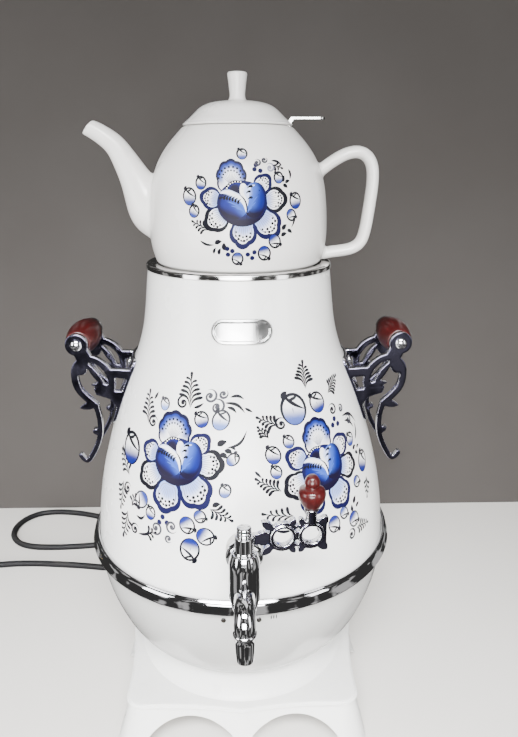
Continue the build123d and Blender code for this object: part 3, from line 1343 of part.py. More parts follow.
def plug():
    """A moulded mains plug lying on its side: cord sleeve and body."""
    thick, wide = PLUG_HALF_THICKNESS, PLUG_HALF_WIDTH
    low = (Align.CENTER, Align.CENTER, Align.MIN)
    body = Cone(CORD_RADIUS + 1.0, CORD_RADIUS + 2.6, 18, align=low)
    rings = [(16.0, thick - 0.8, 7.0), (24.0, thick - 0.2, wide - 2.0), (34.0, thick, wide)]
    body += loft([Pos(0, 0, z) * Ellipse(tall, across) for z, tall, across in rings])
    body += Pos(0, 0, 34) * extrude(Ellipse(thick, wide), 6)
    for side in (-1, 1):
        body -= Pos(0, side * PLUG_PIN_SPACING / 2, 30) * extrude(Circle(PLUG_PIN_RADIUS), 10)
    return plug_frame() * body


def plug_pins():
    """The plug's two round pins, set 10 mm into its face."""
    pins = []
    for side in (-1, 1):
        place = Pos(0, side * PLUG_PIN_SPACING / 2, 30)
        pin = place * extrude(Circle(PLUG_PIN_RADIUS), 10 + PLUG_PIN_LENGTH)
        pins.append(plug_frame() * fillet(pin.edges().sort_by(Axis.Z)[-1], 1.5))
    return pins


# ------------------------------------------------------------------ all pieces


def mirrored(piece):
    return mirror(piece, Plane.YZ)


def pieces():
    bracket, grip, rod = handle_bracket(), side_grip(), grip_rod()
    return {
        "plinth": plinth(),
        "rubber_feet": rubber_feet(),
        "plinth_screws": plinth_screws(),
        "plinth_nuts": plinth_nuts(),
        "lower_bowl": lower_bowl(),
        "bottom_cover": bottom_cover(),
        "cover_screws": cover_screws(),
        "belt_ring": belt(),
        "outer_casing": outer_casing(),
        "joint_screws": joint_screws(),
        "inner_tank": inner_tank(),
        "tank_support_ring": support_ring(),
        "rim_ring": rim_ring(),
        "teapot_stand": teapot_stand(),
        "heating_element": heating_element(),
        "element_seals": element_seals(),
        "element_nuts": element_nuts(),
        "thermostat": thermostat(),
        "thermal_cutout": thermal_cutout(),
        "terminal_block": terminal_block(),
        "internal_wiring": internal_wiring(),
        "indicator_lamps": indicator_lamps(),
        "tap_body": tap_body(),
        "tap_gasket": tap_gasket(),
        "tap_sleeve": tank_sleeve(),
        "tap_inner_washer": inner_washer(),
        "tap_backnut": tap_backnut(),
        "tap_key": tap_key(),
        "key_cap": key_cap(),
        "key_washer": key_washer(),
        "key_nut": key_nut(),
        "tap_lever": tap_lever(),
        "lever_knob": lever_knob(),
        "right_handle_bracket": bracket,
        "left_handle_bracket": mirrored(bracket),
        "right_grip": grip,
        "left_grip": mirrored(grip),
        "right_grip_rod": rod,
        "left_grip_rod": mirrored(rod),
        "handle_screws": handle_screws(),
        "handle_nuts": handle_nuts(),
        "name_plate": name_plate(),
        "teapot_body": teapot_body(),
        "teapot_spout": teapot_spout(),
        "teapot_handle": teapot_handle(),
        "infuser": infuser(),
        "teapot_lid": teapot_lid(),
        "cord_gland": cord_gland(),
        "mains_cord": mains_cord(),
        "mains_plug": plug(),
        "plug_pins": plug_pins(),
    }


def save(name, piece):
    if isinstance(piece, list):
        piece = Compound(children=[solid for item in piece for solid in item.solids()])
    export_step(piece, os.path.join("parts", name + ".step"))


os.makedirs("parts", exist_ok=True)
for name, piece in pieces().items():
    save(name, piece)
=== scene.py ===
from cmath import rect
from math import atan2, cos, degrees, hypot, pi, radians, sin

import bmesh
import bpy
import numpy as np
from mathutils import Matrix, Vector


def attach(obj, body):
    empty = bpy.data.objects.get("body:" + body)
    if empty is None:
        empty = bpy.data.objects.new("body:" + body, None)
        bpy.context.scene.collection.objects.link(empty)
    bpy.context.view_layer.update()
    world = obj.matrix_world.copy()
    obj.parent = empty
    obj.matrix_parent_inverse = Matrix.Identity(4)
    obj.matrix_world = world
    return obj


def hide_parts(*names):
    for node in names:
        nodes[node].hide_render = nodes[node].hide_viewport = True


# An electric samovar in white enamel with a porcelain teapot, painted with blue roses.
# Outlines are written in millimetres and pass through MM on their way to Blender.
MM = 0.001

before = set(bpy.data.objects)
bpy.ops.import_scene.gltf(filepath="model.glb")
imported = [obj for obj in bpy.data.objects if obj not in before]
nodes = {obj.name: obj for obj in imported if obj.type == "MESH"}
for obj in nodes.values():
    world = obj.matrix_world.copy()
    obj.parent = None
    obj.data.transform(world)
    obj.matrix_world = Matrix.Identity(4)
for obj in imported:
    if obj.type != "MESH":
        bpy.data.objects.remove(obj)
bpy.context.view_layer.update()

# ---- camera and light


def in_scene(name, data):
    obj = bpy.data.objects.new(name, data)
    bpy.context.scene.collection.objects.link(obj)
    return obj


def softbox(name, location, target, size, power, spread=180):
    """A rectangular soft light; a spread below 180 degrees is a grid in front of it."""
    lamp = bpy.data.lights.new(name, "AREA")
    lamp.shape = "RECTANGLE"
    lamp.size, lamp.size_y = size
    lamp.energy = power
    lamp.spread = radians(spread)
    obj = in_scene(name, lamp)
    obj.location = location
    obj.rotation_euler = (Vector(target) - Vector(location)).to_track_quat("-Z", "Y").to_euler()


CAMERA_PITCH, CAMERA_YAW = 17.78, -1.42  # degrees below the horizon, and to the left
camera_data = bpy.data.cameras.new("camera")
camera_data.sensor_fit = "VERTICAL"
camera_data.sensor_height = 36.0
camera_data.lens = 31.39
camera_data.clip_start = 0.01
camera = in_scene("camera", camera_data)
camera.location = (0.0032, -0.5069, 0.462)
camera.rotation_euler = (radians(90 - CAMERA_PITCH), 0, radians(CAMERA_YAW))
bpy.context.scene.camera = camera

softbox("ceiling_light", (-0.05, -1.00, 1.15), (0, -0.16, 0.06), (1.1, 0.3), 9.5, 50)
softbox("ceiling_light_rear", (0.1, 0.15, 1.5), (0, 0, 0.3), (1.4, 0.5), 3)
softbox("window_left", (-1.2, -0.75, 0.5), (0, 0, 0.2), (0.5, 0.9), 11)
softbox("window_right", (1.15, -0.9, 0.55), (0, 0, 0.25), (0.35, 0.9), 5.5)
softbox("front_fill", (-0.1, -1.5, 0.45), (0, 0, 0.16), (1.0, 0.5), 6.5, 70)

# ---- shader groups

FLOAT, COLOUR, VECTOR = "NodeSocketFloat", "NodeSocketColor", "NodeSocketVector"


def group_start(name, inputs, outputs):
    """A shader node group with its named sockets, and the sockets seen from inside it."""
    group = bpy.data.node_groups.new(name, "ShaderNodeTree")
    for side, sockets in (("INPUT", inputs), ("OUTPUT", outputs)):
        for socket, kind in sockets.items():
            group.interface.new_socket(name=socket, in_out=side, socket_type=kind)
    return group, group.nodes.new("NodeGroupInput").outputs, group.nodes.new("NodeGroupOutput").inputs


def node(tree, kind, *sources, **settings):
    """A node with its settings: sources are linked to its first inputs, and so is a setting
    that is another node's output to the input of that name."""
    made = tree.nodes.new(kind)
    for key, value in settings.items():
        socket = key.replace("_", " ")
        if isinstance(value, bpy.types.NodeSocket):
            tree.links.new(value, made.inputs[socket])
        elif hasattr(made, key):
            setattr(made, key, value)
        else:
            made.inputs[socket].default_value = value
    for source, target in zip(sources, made.inputs):
        tree.links.new(source, target)
    return made


def map_range(tree, value, low, high, to_low, to_high):
    """Takes one range of values to another, whose ends are floats or sockets."""
    ends = {"From_Min": low, "From_Max": high, "To_Min": to_low, "To_Max": to_high}
    return node(tree, "ShaderNodeMapRange", value, **ends).outputs["Result"]


def maths(tree, operation, a, b, **settings):
    return node(tree, "ShaderNodeMath", a, b, operation=operation, **settings).outputs[0]


def noise(tree, place, **settings):
    return node(tree, "ShaderNodeTexNoise", place, **settings).outputs["Fac"]


def own_place(tree):
    return node(tree, "ShaderNodeTexCoord").outputs["Object"]


def stretched(tree, place, factors):
    return node(tree, "ShaderNodeVectorMath", place, factors, operation="MULTIPLY").outputs[0]


def blended(tree, share, first, second):
    """A colour that goes from the first to the second."""
    mix = node(tree, "ShaderNodeMix", share, data_type="RGBA")
    tree.links.new(first, mix.inputs[6])
    tree.links.new(second, mix.inputs[7])
    return mix.outputs[2]


# roughness that wanders between two values, as on handled polish
inputs = {"Scale": FLOAT, "Low": FLOAT, "High": FLOAT}
SMUDGES, start, end = group_start("smudges", inputs, {"Roughness": FLOAT})
wander = noise(SMUDGES, own_place(SMUDGES), Scale=start["Scale"], Detail=4.0, Roughness=0.6)
rough = map_range(SMUDGES, wander, 0.35, 0.7, start["Low"], start["High"])
SMUDGES.links.new(rough, end["Roughness"])

# the slow waviness of a sprayed or dipped coat over a fine orange peel
RIPPLE, start, end = group_start("coat_ripple", {"Peel": FLOAT}, {"Height": FLOAT})
place = own_place(RIPPLE)
wave = noise(RIPPLE, place, Scale=20.0, Detail=1.0)
peel = maths(RIPPLE, "MULTIPLY", noise(RIPPLE, place, Scale=400.0, Detail=2.0), start["Peel"])
RIPPLE.links.new(maths(RIPPLE, "ADD", wave, peel), end["Height"])

# a colour that takes on a little dust where the surface looks up, broken by noise
inputs = {"Color": COLOUR, "Dust Color": COLOUR, "Amount": FLOAT}
DUST, start, end = group_start("settled_dust", inputs, {"Color": COLOUR})
normal = node(DUST, "ShaderNodeNewGeometry").outputs["Normal"]
upward = node(DUST, "ShaderNodeSeparateXYZ", normal).outputs["Z"]
patch = map_range(DUST, noise(DUST, own_place(DUST), Scale=55.0, Detail=5.0), 0.4, 0.75, 0.0, 1.0)
both = maths(DUST, "MULTIPLY", map_range(DUST, upward, 0.2, 1.0, 0.0, 1.0), patch)
share = maths(DUST, "MULTIPLY", both, start["Amount"])
DUST.links.new(blended(DUST, share, start["Color"], start["Dust Color"]), end["Color"])

# fine parallel scratches along one direction
BRUSHED, start, end = group_start("brushed_lines", {"Stretch": VECTOR}, {"Height": FLOAT})
place = stretched(BRUSHED, own_place(BRUSHED), start["Stretch"])
BRUSHED.links.new(noise(BRUSHED, place, Scale=60.0, Detail=6.0, Roughness=0.7), end["Height"])

# turned wood: rings along the grain with fine pores, as colour and height
inputs = {"Light Color": COLOUR, "Dark Color": COLOUR, "Stretch": VECTOR}
GRAIN, start, end = group_start("wood_grain", inputs, {"Color": COLOUR, "Height": FLOAT})
place = stretched(GRAIN, own_place(GRAIN), start["Stretch"])
rings = noise(GRAIN, place, Scale=260.0, Detail=4.0, Distortion=1.2)
pores = noise(GRAIN, place, Scale=1100.0, Detail=3.0)
ring_share = map_range(GRAIN, rings, 0.38, 0.66, 0.0, 0.75)
pore_share = map_range(GRAIN, pores, 0.55, 0.75, 0.0, 0.4)
share = maths(GRAIN, "ADD", ring_share, pore_share, use_clamp=True)
GRAIN.links.new(blended(GRAIN, share, start["Light Color"], start["Dark Color"]), end["Color"])
GRAIN.links.new(pores, end["Height"])

# ---- materials

LINT, GRIT = (0.45, 0.42, 0.38, 1), (0.3, 0.28, 0.26, 1)
WAVE_DEPTH, SCRATCH_DEPTH, PORE_DEPTH = 0.0002, 0.00002, 0.0001


def placed(tree, group, **values):
    """The outputs of a node group set in a material, with that material's own values."""
    return node(tree, "ShaderNodeGroup", node_tree=group, **values).outputs


def bumped(tree, sockets, height, strength, distance):
    bump = node(tree, "ShaderNodeBump", Height=height, Strength=strength, Distance=distance)
    tree.links.new(bump.outputs["Normal"], sockets["Normal"])


def material(name, smudge, **values):
    """A Principled material: plain values are set on its own sockets, and its roughness
    wanders over smudges of (scale, low, high)."""
    made = bpy.data.materials.new(name)
    made.use_nodes = True
    tree = made.node_tree
    sockets = tree.nodes["Principled BSDF"].inputs
    for key, value in values.items():
        sockets[key.replace("_", " ")].default_value = value
    scale, low, high = smudge
    rough = placed(tree, SMUDGES, Scale=scale, Low=low, High=high)
    tree.links.new(rough["Roughness"], sockets["Roughness"])
    return made, tree, sockets


def dusty(name, colour, smudge, dust, dirt, **values):
    """A material under dust; without a colour it takes the tint that its mesh carries."""
    made, tree, sockets = material(name, smudge, **values)
    if colour is None:
        tint = node(tree, "ShaderNodeVertexColor", layer_name="tint").outputs["Color"]
    else:
        tint = (*colour, 1)
    shade = placed(tree, DUST, Color=tint, Dust_Color=dirt, Amount=dust)
    tree.links.new(shade["Color"], sockets["Base Color"])
    return made, tree, sockets


def coated(name, colour, smudge, wave=0, peel=0.3, dust=0.15, **values):
    """A painted, enamelled, glazed or moulded surface."""
    made, tree, sockets = dusty(name, colour, smudge, dust, LINT, **values)
    if wave:
        bumped(tree, sockets, placed(tree, RIPPLE, Peel=peel)["Height"], wave, WAVE_DEPTH)
    return made


def metal(name, colour, smudge, stretch=None):
    """Polished or plated metal, or metal brushed across by a stretch."""
    made, tree, sockets = dusty(name, colour, smudge, 0.06, GRIT, Metallic=1)
    if stretch:
        lines = placed(tree, BRUSHED, Stretch=(1, 1, stretch))
        bumped(tree, sockets, lines["Height"], 0.5, SCRATCH_DEPTH)
    return made


def wood(name, light, dark, stretch):
    made, tree, sockets = material(
        name, (90, 0.3, 0.45), Specular_IOR_Level=0.3, Coat_Weight=0.5, Coat_Roughness=0.07
    )
    grain = placed(tree, GRAIN, Light_Color=(*light, 1), Dark_Color=(*dark, 1), Stretch=stretch)
    tree.links.new(grain["Color"], sockets["Base Color"])
    bumped(tree, sockets, grain["Height"], 0.15, PORE_DEPTH)
    return made


# name, colour, smudges, wave, peel, dust
enamel = coated("white_enamel", (0.83, 0.83, 0.815), (14, 0.2, 0.3), 0.06, dust=0.05, Coat_Weight=0.25)
# The bowl's white enamel, greyed well below the casing's white: painted shade.
shaded_bowl_enamel = coated(
    "shaded_bowl_enamel", (0.45, 0.45, 0.44), (18, 0.16, 0.26), 0.05, dust=0.04, Coat_Weight=0.4
)
glaze = coated("porcelain_glaze", (0.78, 0.765, 0.745), (16, 0.2, 0.3), 0.1, dust=0.05, Coat_Weight=0.3)
satin = coated("plinth_satin", (0.8, 0.8, 0.785), (22, 0.26, 0.38), 0.12, 0.8, 0.12)
rubber = coated("foot_rubber", (0.02, 0.02, 0.02), (60, 0.6, 0.8), 0.3, dust=0.3)
cord_skin = coated(
    "cord_skin", (0.01, 0.01, 0.011), (80, 0.42, 0.6), 0.25, dust=0.04, Specular_IOR_Level=0.2
)
plug_skin = coated("plug_skin", (0.014, 0.014, 0.015), (70, 0.35, 0.5), 0.4, 0.9, 0.2)
silicone = coated("seal_silicone", (0.55, 0.54, 0.52), (60, 0.45, 0.6), 0.2)
bakelite = coated("bakelite", (0.05, 0.03, 0.025), (60, 0.25, 0.4), 0.2)
block_white = coated("block_plastic", (0.7, 0.7, 0.68), (60, 0.35, 0.5), 0.2)
wire_skin = coated("wire_sleeve", (0.5, 0.5, 0.48), (90, 0.5, 0.7), 0.5, 1.0)
lens = coated("lamp_lens", (0.02, 0.018, 0.016), (90, 0.05, 0.1), dust=0.05, Coat_Weight=1)
painted = dusty("painted_enamel", None, (14, 0.34, 0.44), 0.05, LINT, Specular_IOR_Level=0.12)[0]
chrome = metal("chrome", (0.78, 0.78, 0.8), (24, 0.02, 0.07))
rim_chrome = metal("rim_chrome", (0.66, 0.65, 0.64), (30, 0.06, 0.14))
steel = metal("stainless_steel", (0.55, 0.55, 0.54), (40, 0.16, 0.28), 30)
zinc = metal("zinc", (0.42, 0.43, 0.44), (120, 0.25, 0.45))
brass = metal("pin_brass", (0.62, 0.5, 0.28), (80, 0.12, 0.25))
plate_metal = metal("plate_metal", (0.62, 0.62, 0.62), (60, 0.16, 0.3), 25)
# Chrome of the lever and handles: the flat faces take this dark colour, a painted reflection of a dark
# room, and the edges keep bright chrome.
painted_reflection_chrome = metal("antique_chrome", (0.1, 0.096, 0.14), (70, 0.1, 0.24))
bright_chrome = metal("bright_chrome", (0.74, 0.74, 0.76), (90, 0.08, 0.2))
red_wood = wood("lacquered_wood", (0.052, 0.004, 0.004), (0.032, 0.002, 0.002), (1, 0.18, 1))
red_wood_up = wood("lacquered_wood_upright", (0.048, 0.003, 0.003), (0.028, 0.002, 0.002), (1, 1, 0.18))


def shade_foot(made, low, high, least):
    """Darkens a wall towards its foot, where its neighbour keeps the light off."""
    tree = made.node_tree
    colour = tree.nodes["Principled BSDF"].inputs["Base Color"]
    level = node(tree, "ShaderNodeSeparateXYZ", own_place(tree)).outputs["Z"]
    share = map_range(tree, level, low, high, least, 1.0)
    tree.links.new(stretched(tree, colour.links[0].from_socket, share), colour)


# painted shade on the bowl's foot, just above the plinth's collar
shade_foot(shaded_bowl_enamel, 0.067, 0.096, 0.1)

# ---- modelling helpers


def active(obj):
    bpy.ops.object.select_all(action="DESELECT")
    obj.select_set(True)
    bpy.context.view_layer.objects.active = obj
    return obj


def begin_edit(obj):
    active(obj)
    bpy.ops.object.mode_set(mode="EDIT")
    bpy.ops.mesh.select_mode(type="VERT")
    bpy.ops.mesh.select_all(action="SELECT")


def end_edit():
    bpy.ops.object.mode_set(mode="OBJECT")


def started(name, add, scale=(1, 1, 1), **shape):
    """A new piece from one of Blender's own shapes, its place and size put into its mesh."""
    bpy.ops.object.select_all(action="DESELECT")
    add(**shape)
    obj = bpy.context.object
    obj.name = name
    obj.scale = scale
    active(obj)
    bpy.ops.object.transform_apply(location=True, rotation=True, scale=True)
    return obj


def extruded(x=0, y=0, z=0):
    bpy.ops.mesh.extrude_edges_move(TRANSFORM_OT_translate={"value": (x, y, z)})


def cleaned(obj, outwards=True):
    """Merges doubles and turns the faces outwards."""
    begin_edit(obj)
    bpy.ops.mesh.remove_doubles(threshold=0.000004)
    if outwards:
        bpy.ops.mesh.normals_make_consistent(inside=False)
    end_edit()
    return obj


def finished(obj, kind, **settings):
    """A modifier, set and applied."""
    active(obj)
    modifier = obj.modifiers.new(kind.lower(), kind)
    for key, value in settings.items():
        setattr(modifier, key, value)
    bpy.ops.object.modifier_apply(modifier=modifier.name)
    return obj


def smoothed(obj, angle=35):
    active(obj)
    bpy.ops.object.shade_smooth_by_angle(angle=radians(angle))
    return obj


def smooth_line(points, step):
    """Points every step along the natural cubic curve through the given ones."""
    p = np.array(points, float)
    t = np.concatenate([[0.0], np.cumsum(np.linalg.norm(np.diff(p, axis=0), axis=1))])
    h, last = np.diff(t), len(t) - 1
    a, b = np.eye(last + 1), np.zeros_like(p)
    for i in range(1, last):
        a[i, i - 1:i + 2] = h[i - 1], 2 * (h[i - 1] + h[i]), h[i]
        b[i] = 6 * ((p[i + 1] - p[i]) / h[i] - (p[i] - p[i - 1]) / h[i - 1])
    m = np.linalg.solve(a, b)
    line = []
    for s in np.linspace(0.0, t[-1], max(2, round(t[-1] / step)) + 1):
        i = min(int(np.searchsorted(t, s, side="right")) - 1, last - 1)
        x, y = t[i + 1] - s, s - t[i]
        curve = (m[i] * x**3 + m[i + 1] * y**3) / (6 * h[i])
        chord = (p[i] / h[i] - m[i] * h[i] / 6) * x + (p[i + 1] / h[i] - m[i + 1] * h[i] / 6) * y
        line.append(tuple(float(c) for c in curve + chord))
    return line


def way(angle):
    """A step of one millimetre at an angle in degrees; a place in a plane is a complex number."""
    return rect(1, radians(angle))


POLE = 0.001  # the least radius of a lathe shape


def turned(name, outline, around, at=(0, 0)):
    """A lathe shape: a circle extruded and resized from point to point of (radius, height)."""
    outline = [(max(r, POLE), z) for r, z in outline]
    r, z = outline[0]
    x, y = at[0] * MM, at[1] * MM
    circle = bpy.ops.mesh.primitive_circle_add
    obj = started(name, circle, vertices=around, radius=r * MM, location=(x, y, z * MM))
    begin_edit(obj)
    for (r0, z0), (r1, z1) in zip(outline, outline[1:]):
        extruded(z=(z1 - z0) * MM)
        if abs(r1 - r0) > 1e-6:
            bpy.ops.transform.resize(value=(r1 / r0, r1 / r0, 1), center_override=(x, y, z1 * MM))
    end_edit()
    return cleaned(obj)


def ring_place(centre, half, lean):
    """From the unit circle to an oval ring: its first half width lies in the XZ plane."""
    place = Matrix.Translation([c * MM for c in centre]) @ Matrix.Rotation(-radians(lean), 4, "Y")
    return place @ Matrix.Diagonal((half[0] * MM, half[1] * MM, 1, 1))


def move_selected(obj, matrix):
    shape = bmesh.from_edit_mesh(obj.data)
    bmesh.ops.transform(shape, matrix=matrix, verts=[v for v in shape.verts if v.select])
    bmesh.update_edit_mesh(obj.data)


def lofted(name, sections, around):
    """A skin drawn from oval ring to oval ring: each is (centre, halves, lean)."""
    obj = started(name, bpy.ops.mesh.primitive_circle_add, vertices=around, radius=1)
    places = [ring_place(*ring) for ring in sections]
    begin_edit(obj)
    move_selected(obj, places[0])
    for before, after in zip(places, places[1:]):
        extruded()
        move_selected(obj, after @ before.inverted())
    bpy.ops.mesh.select_all(action="DESELECT")
    bpy.ops.mesh.select_non_manifold()
    bpy.ops.mesh.fill_holes(sides=0)
    end_edit()
    return cleaned(obj)


def joined(name, pieces):
    active(pieces[0])
    for piece in pieces:
        piece.select_set(True)
    bpy.ops.object.join()
    pieces[0].name = name
    return pieces[0]


def cut_away(obj, *cutters):
    """Boolean differences; the cutters are used up."""
    for cutter in cutters:
        finished(obj, "BOOLEAN", operation="DIFFERENCE", object=cutter, solver="EXACT")
        bpy.data.objects.remove(cutter)
    return obj


# Faces that look along the flat direction keep the first finish; on the chrome lever and handles that is
# a painted dark reflection, and the others take bright chrome.
FLAT_FACE = 0.8  # how much a face has to look along the flat direction


def cast(obj, grain, rounds):
    """Soft cast edges: remeshed at a grain in millimetres, and evened out in rounds."""
    finished(obj, "REMESH", mode="VOXEL", voxel_size=grain * MM, use_smooth_shade=True)
    finished(obj, "SMOOTH", factor=0.5, iterations=rounds)


def softened(source, name, grain, rounds, flat=None, edge=None):
    """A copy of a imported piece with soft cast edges.
    Faces that look away from the flat direction take the second finish."""
    obj = in_scene(name, nodes[source].data.copy())
    obj.data.materials.clear()
    cleaned(obj, outwards=False)
    cast(obj, grain, rounds)
    obj.data.materials.append(None)
    if edge is not None:
        obj.data.materials.append(edge)
        for face in obj.data.polygons:
            face.material_index = int(abs(face.normal.dot(flat)) < FLAT_FACE)
    return obj


def dress(obj, slot, finish, *replaced, body="samovar"):
    """Gives a piece its finish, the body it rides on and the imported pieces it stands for."""
    if obj.data.materials:
        obj.data.materials[0] = finish
    else:
        obj.data.materials.append(finish)
    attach(obj, body)
    if replaced:
        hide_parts(*replaced)


# ---- mains cord

CORD_DIAMETER = 7
CORD_EXIT = (70.2, 132.1, 99.9)
FLOOR = 3.6  # height of the cord's middle where it lies on the floor
cord_air = [(82.7, 155.5, 90.7), (94, 183, 50), (96, 216, 20)]
cord_away = [(78, 246), (38, 258), (-14, 253), (-66, 242), (-118, 240), (-170, 258), (-222, 280)]
cord_loop = [(-273, 284), (-298, 259), (-298, 223), (-273, 198), (-222, 196), (-168, 202)]
cord_back = [(-112, 204), (-58, 208), (-5, 206), (20, 181), (20, 146), (-5, 122)]
cord_tail = [(-52, 122), (-104, 138), (-158, 152), (-212, 160), (-262, 164), (-302, 160)]
cord_flat = [(x, y, FLOOR) for x, y in cord_away + cord_loop + cord_back + cord_tail]
cord_route = [CORD_EXIT] + cord_air + cord_flat + [(-332, 153, 7.4), (-354, 147, 7.4)]

cord_curve = bpy.data.curves.new("mains_cord_line", "CURVE")
cord_curve.dimensions = "3D"
cord_curve.resolution_u = 8
cord_curve.bevel_depth = CORD_DIAMETER / 2 * MM
cord_curve.bevel_resolution = 5
spline = cord_curve.splines.new("NURBS")
spline.points.add(len(cord_route) - 1)
for point, (x, y, z) in zip(spline.points, cord_route):
    point.co = (x * MM, y * MM, z * MM, 1)
spline.order_u = 3
spline.use_endpoint_u = True
cord = in_scene("flexible_cord", cord_curve)
dress(cord, "cord_black", cord_skin, "mains_cord")

plug = softened("mains_plug", "moulded_plug", 0.8, 4)
dress(plug, "plug_black", plug_skin, "mains_plug")
pins = softened("plug_pins", "plug_contacts", 0.35, 2)
dress(pins, "pin_brass", brass, "plug_pins")
GLAND_RIBS, RIB_PITCH, RIB_TAPER, RIB_DEPTH = 9, 3.4, 0.135, 0.7
gland_line = [(0, -5.5), (5.4, -5.5), (5.4, 0.4), (7.6, 0.4), (8, 0.8), (8, 2.4), (7.6, 2.85), (6, 3)]
for rib in range(GLAND_RIBS):
    z, ridge = 4.2 + RIB_PITCH * rib, 6 - RIB_TAPER * rib
    groove = ridge - RIB_DEPTH
    gland_line += [(ridge, z), (ridge, z + 1.9), (groove, z + 2.2), (groove, z + 3.1)]
gland_line += [(4.7, 36.2), (4.3, 36.8), (0, 36.8)]
gland = turned("strain_relief", gland_line, 40)
GLAND_FOOT, GLAND_AXIS = Vector((53.9047, 101.38, 112)), Vector((0.4435, 0.8341, -0.328))
gland_way = GLAND_AXIS.to_track_quat("Z", "Y").to_matrix().to_4x4()
gland.data.transform(Matrix.Translation(GLAND_FOOT * MM) @ gland_way)
smoothed(gland, 40)
dress(gland, "cord_black", plug_skin, "cord_gland")

# ---- vessel

CASING_LINE = [
    (70.9, 385), (73, 365), (77.4, 335.5), (92.1, 295),
    (106, 254), (115, 220), (120.7, 184), (122.6, 159.7),
]
BOWL_LINE = [(122.6, 159.6), (120.4, 133), (112, 104.5), (100, 82), (84, 66)]
CASING_THICKNESS, BOWL_THICKNESS = 0.9, 1.2
casing_wall = smooth_line(CASING_LINE, 3)
bowl_wall = smooth_line(BOWL_LINE, 3)


def shell_outline(wall, thickness):
    """A wall's outline, out along one side and back along the other."""
    inside = [(r - thickness, z) for r, z in reversed(wall)]
    return wall + inside + [wall[0]]


casing = turned("enamel_casing", shell_outline(casing_wall, CASING_THICKNESS), 160)
dress(smoothed(casing), "casing_enamel", enamel, "outer_casing")

bowl = turned("enamel_bowl", shell_outline(bowl_wall, BOWL_THICKNESS), 160)
ledge = turned("bowl_ledge", [(83.4, 66), (83.4, 67.2), (66, 67.2), (66, 66), (83.4, 66)], 160)
bowl = joined("enamel_bowl", [bowl, ledge])
dress(smoothed(bowl), "bowl_steel", shaded_bowl_enamel, "lower_bowl")

belt_face = smooth_line([(124.9, 166.1), (126.3, 164.6), (127.3, 161.4), (128.1, 158.2)], 0.6)
belt_bead = [(128.3, 157.7), (128.35, 157.3), (128.2, 156.9), (127.8, 156.6), (127.2, 156.5)]
belt_inside = [(123, 156.5), (123, 166.3), (123.3, 166.5), (124.5, 166.5), (124.8, 166.35)]
belt = turned("chrome_belt", belt_face + belt_bead + belt_inside + [(124.9, 166.1)], 192)
dress(smoothed(belt, 50), "belt_chrome", chrome, "belt_ring")

RIM_LINE = [
    (71.9, 385), (71.9, 387.2), (71.75, 387.9), (71.3, 388.5), (70.6, 388.9), (69.8, 389), (64.6, 389),
    (64.1, 388.85), (63.8, 388.5), (63.8, 384), (58.8, 384), (58.8, 382.8), (69.5, 382.8), (69.5, 385),
    (71.9, 385),
]
rim = turned("rim_band", RIM_LINE, 160)
dress(smoothed(rim, 40), "rim_chrome", rim_chrome, "rim_ring")

PLINTH_HALF, PLINTH_CORNER, PLINTH_CUSP, PLINTH_ROUND = 95.6, 1.4, 6, 17
SIDE_STEPS, CORNER_STEPS = 24, 12


def circle_through(a, b, c):
    """The centre of the circle through three places of the plane."""
    w = (c - a) / (b - a)
    return a + (b - a) * (w - abs(w) ** 2) / (2j * w.imag)


def bracket_ring(grow):
    """The plinth's outline: round corners, and on each side two hollow arcs that meet in a point."""
    corner, waist, cusp = (PLINTH_HALF + extra + grow for extra in (PLINTH_CORNER, 0, PLINTH_CUSP))
    centre = circle_through(-1j * cusp, complex(corner / 2, -waist), complex(corner, -corner))
    radius = abs(centre + 1j * cusp)
    reach = PLINTH_HALF + PLINTH_CORNER - PLINTH_ROUND
    side = []
    for i in range(SIDE_STEPS + 1):
        x = reach * i / SIDE_STEPS
        side.append(complex(x, centre.imag + (radius**2 - (x - centre.real) ** 2) ** 0.5))
    bend = -side[-1].imag - reach
    turns = [90 * i / CORNER_STEPS - 90 for i in range(1, CORNER_STEPS)]
    ring = side + [complex(reach, -reach) + bend * way(turn) for turn in turns]
    ring += [-1j * place.conjugate() for place in side[:0:-1]]
    return [place * 1j**turn for turn in range(4) for place in ring]


def ring_stack(name, rings):
    """A skin over rings of equal count, each (points, height): a disc extruded ring by ring."""
    obj = started(name, bpy.ops.mesh.primitive_circle_add, vertices=len(rings[0][0]), radius=1)
    begin_edit(obj)
    order = {}
    for points, height in rings:
        if order:
            extruded()
        shape = bmesh.from_edit_mesh(obj.data)
        chosen = [v for v in shape.verts if v.select]
        if not order:
            chosen.sort(key=lambda v: atan2(v.co.y, v.co.x) % (2 * pi))
            order = {v.co.to_tuple(7): i for i, v in enumerate(chosen)}
        places = [order[v.co.to_tuple(7)] for v in chosen]
        for i, v in zip(places, chosen):
            v.co = (points[i].real * MM, points[i].imag * MM, height * MM)
        order = {v.co.to_tuple(7): i for i, v in zip(places, chosen)}
        bmesh.update_edit_mesh(obj.data)
    end_edit()
    return cleaned(obj)


PLATE_PROFILE = [  # how far out from the outline, and how high
    (8.8, 2), (7.9, 5), (6, 11.5), (3.6, 20), (1, 29.5), (-1, 36.6), (-2.2, 40.9), (-1.2, 41),
    (-0.5, 41.1), (-0.1, 41.5), (0, 42.1), (-0.1, 42.8), (-0.6, 43.2), (-1.1, 43.35), (-1.25, 43.8),
    (-1.5, 44.5), (-2.2, 44.9), (-3, 45),
]
plan = bracket_ring(0)
rings = [(bracket_ring(grow), z) for grow, z in PLATE_PROFILE]
collar = smooth_line([(92.2, 45.1), (89.4, 47.2), (86.6, 52), (84.7, 59), (84, 65.2)], 2)
collar += [(83.8, 65.8), (83.2, 66), (70, 66), (70, 41)]
rings += [([r * place / abs(place) for place in plan], z) for r, z in collar]
rings += [(bracket_ring(grow), z) for grow, z in [(-5.4, 41), (5.6, 2), (8.8, 2)]]
base = ring_stack("footed_plinth", rings)
ARCH_RADIUS, ARCH_SIDE, ARCH_DROP = 45, 40.5, 10


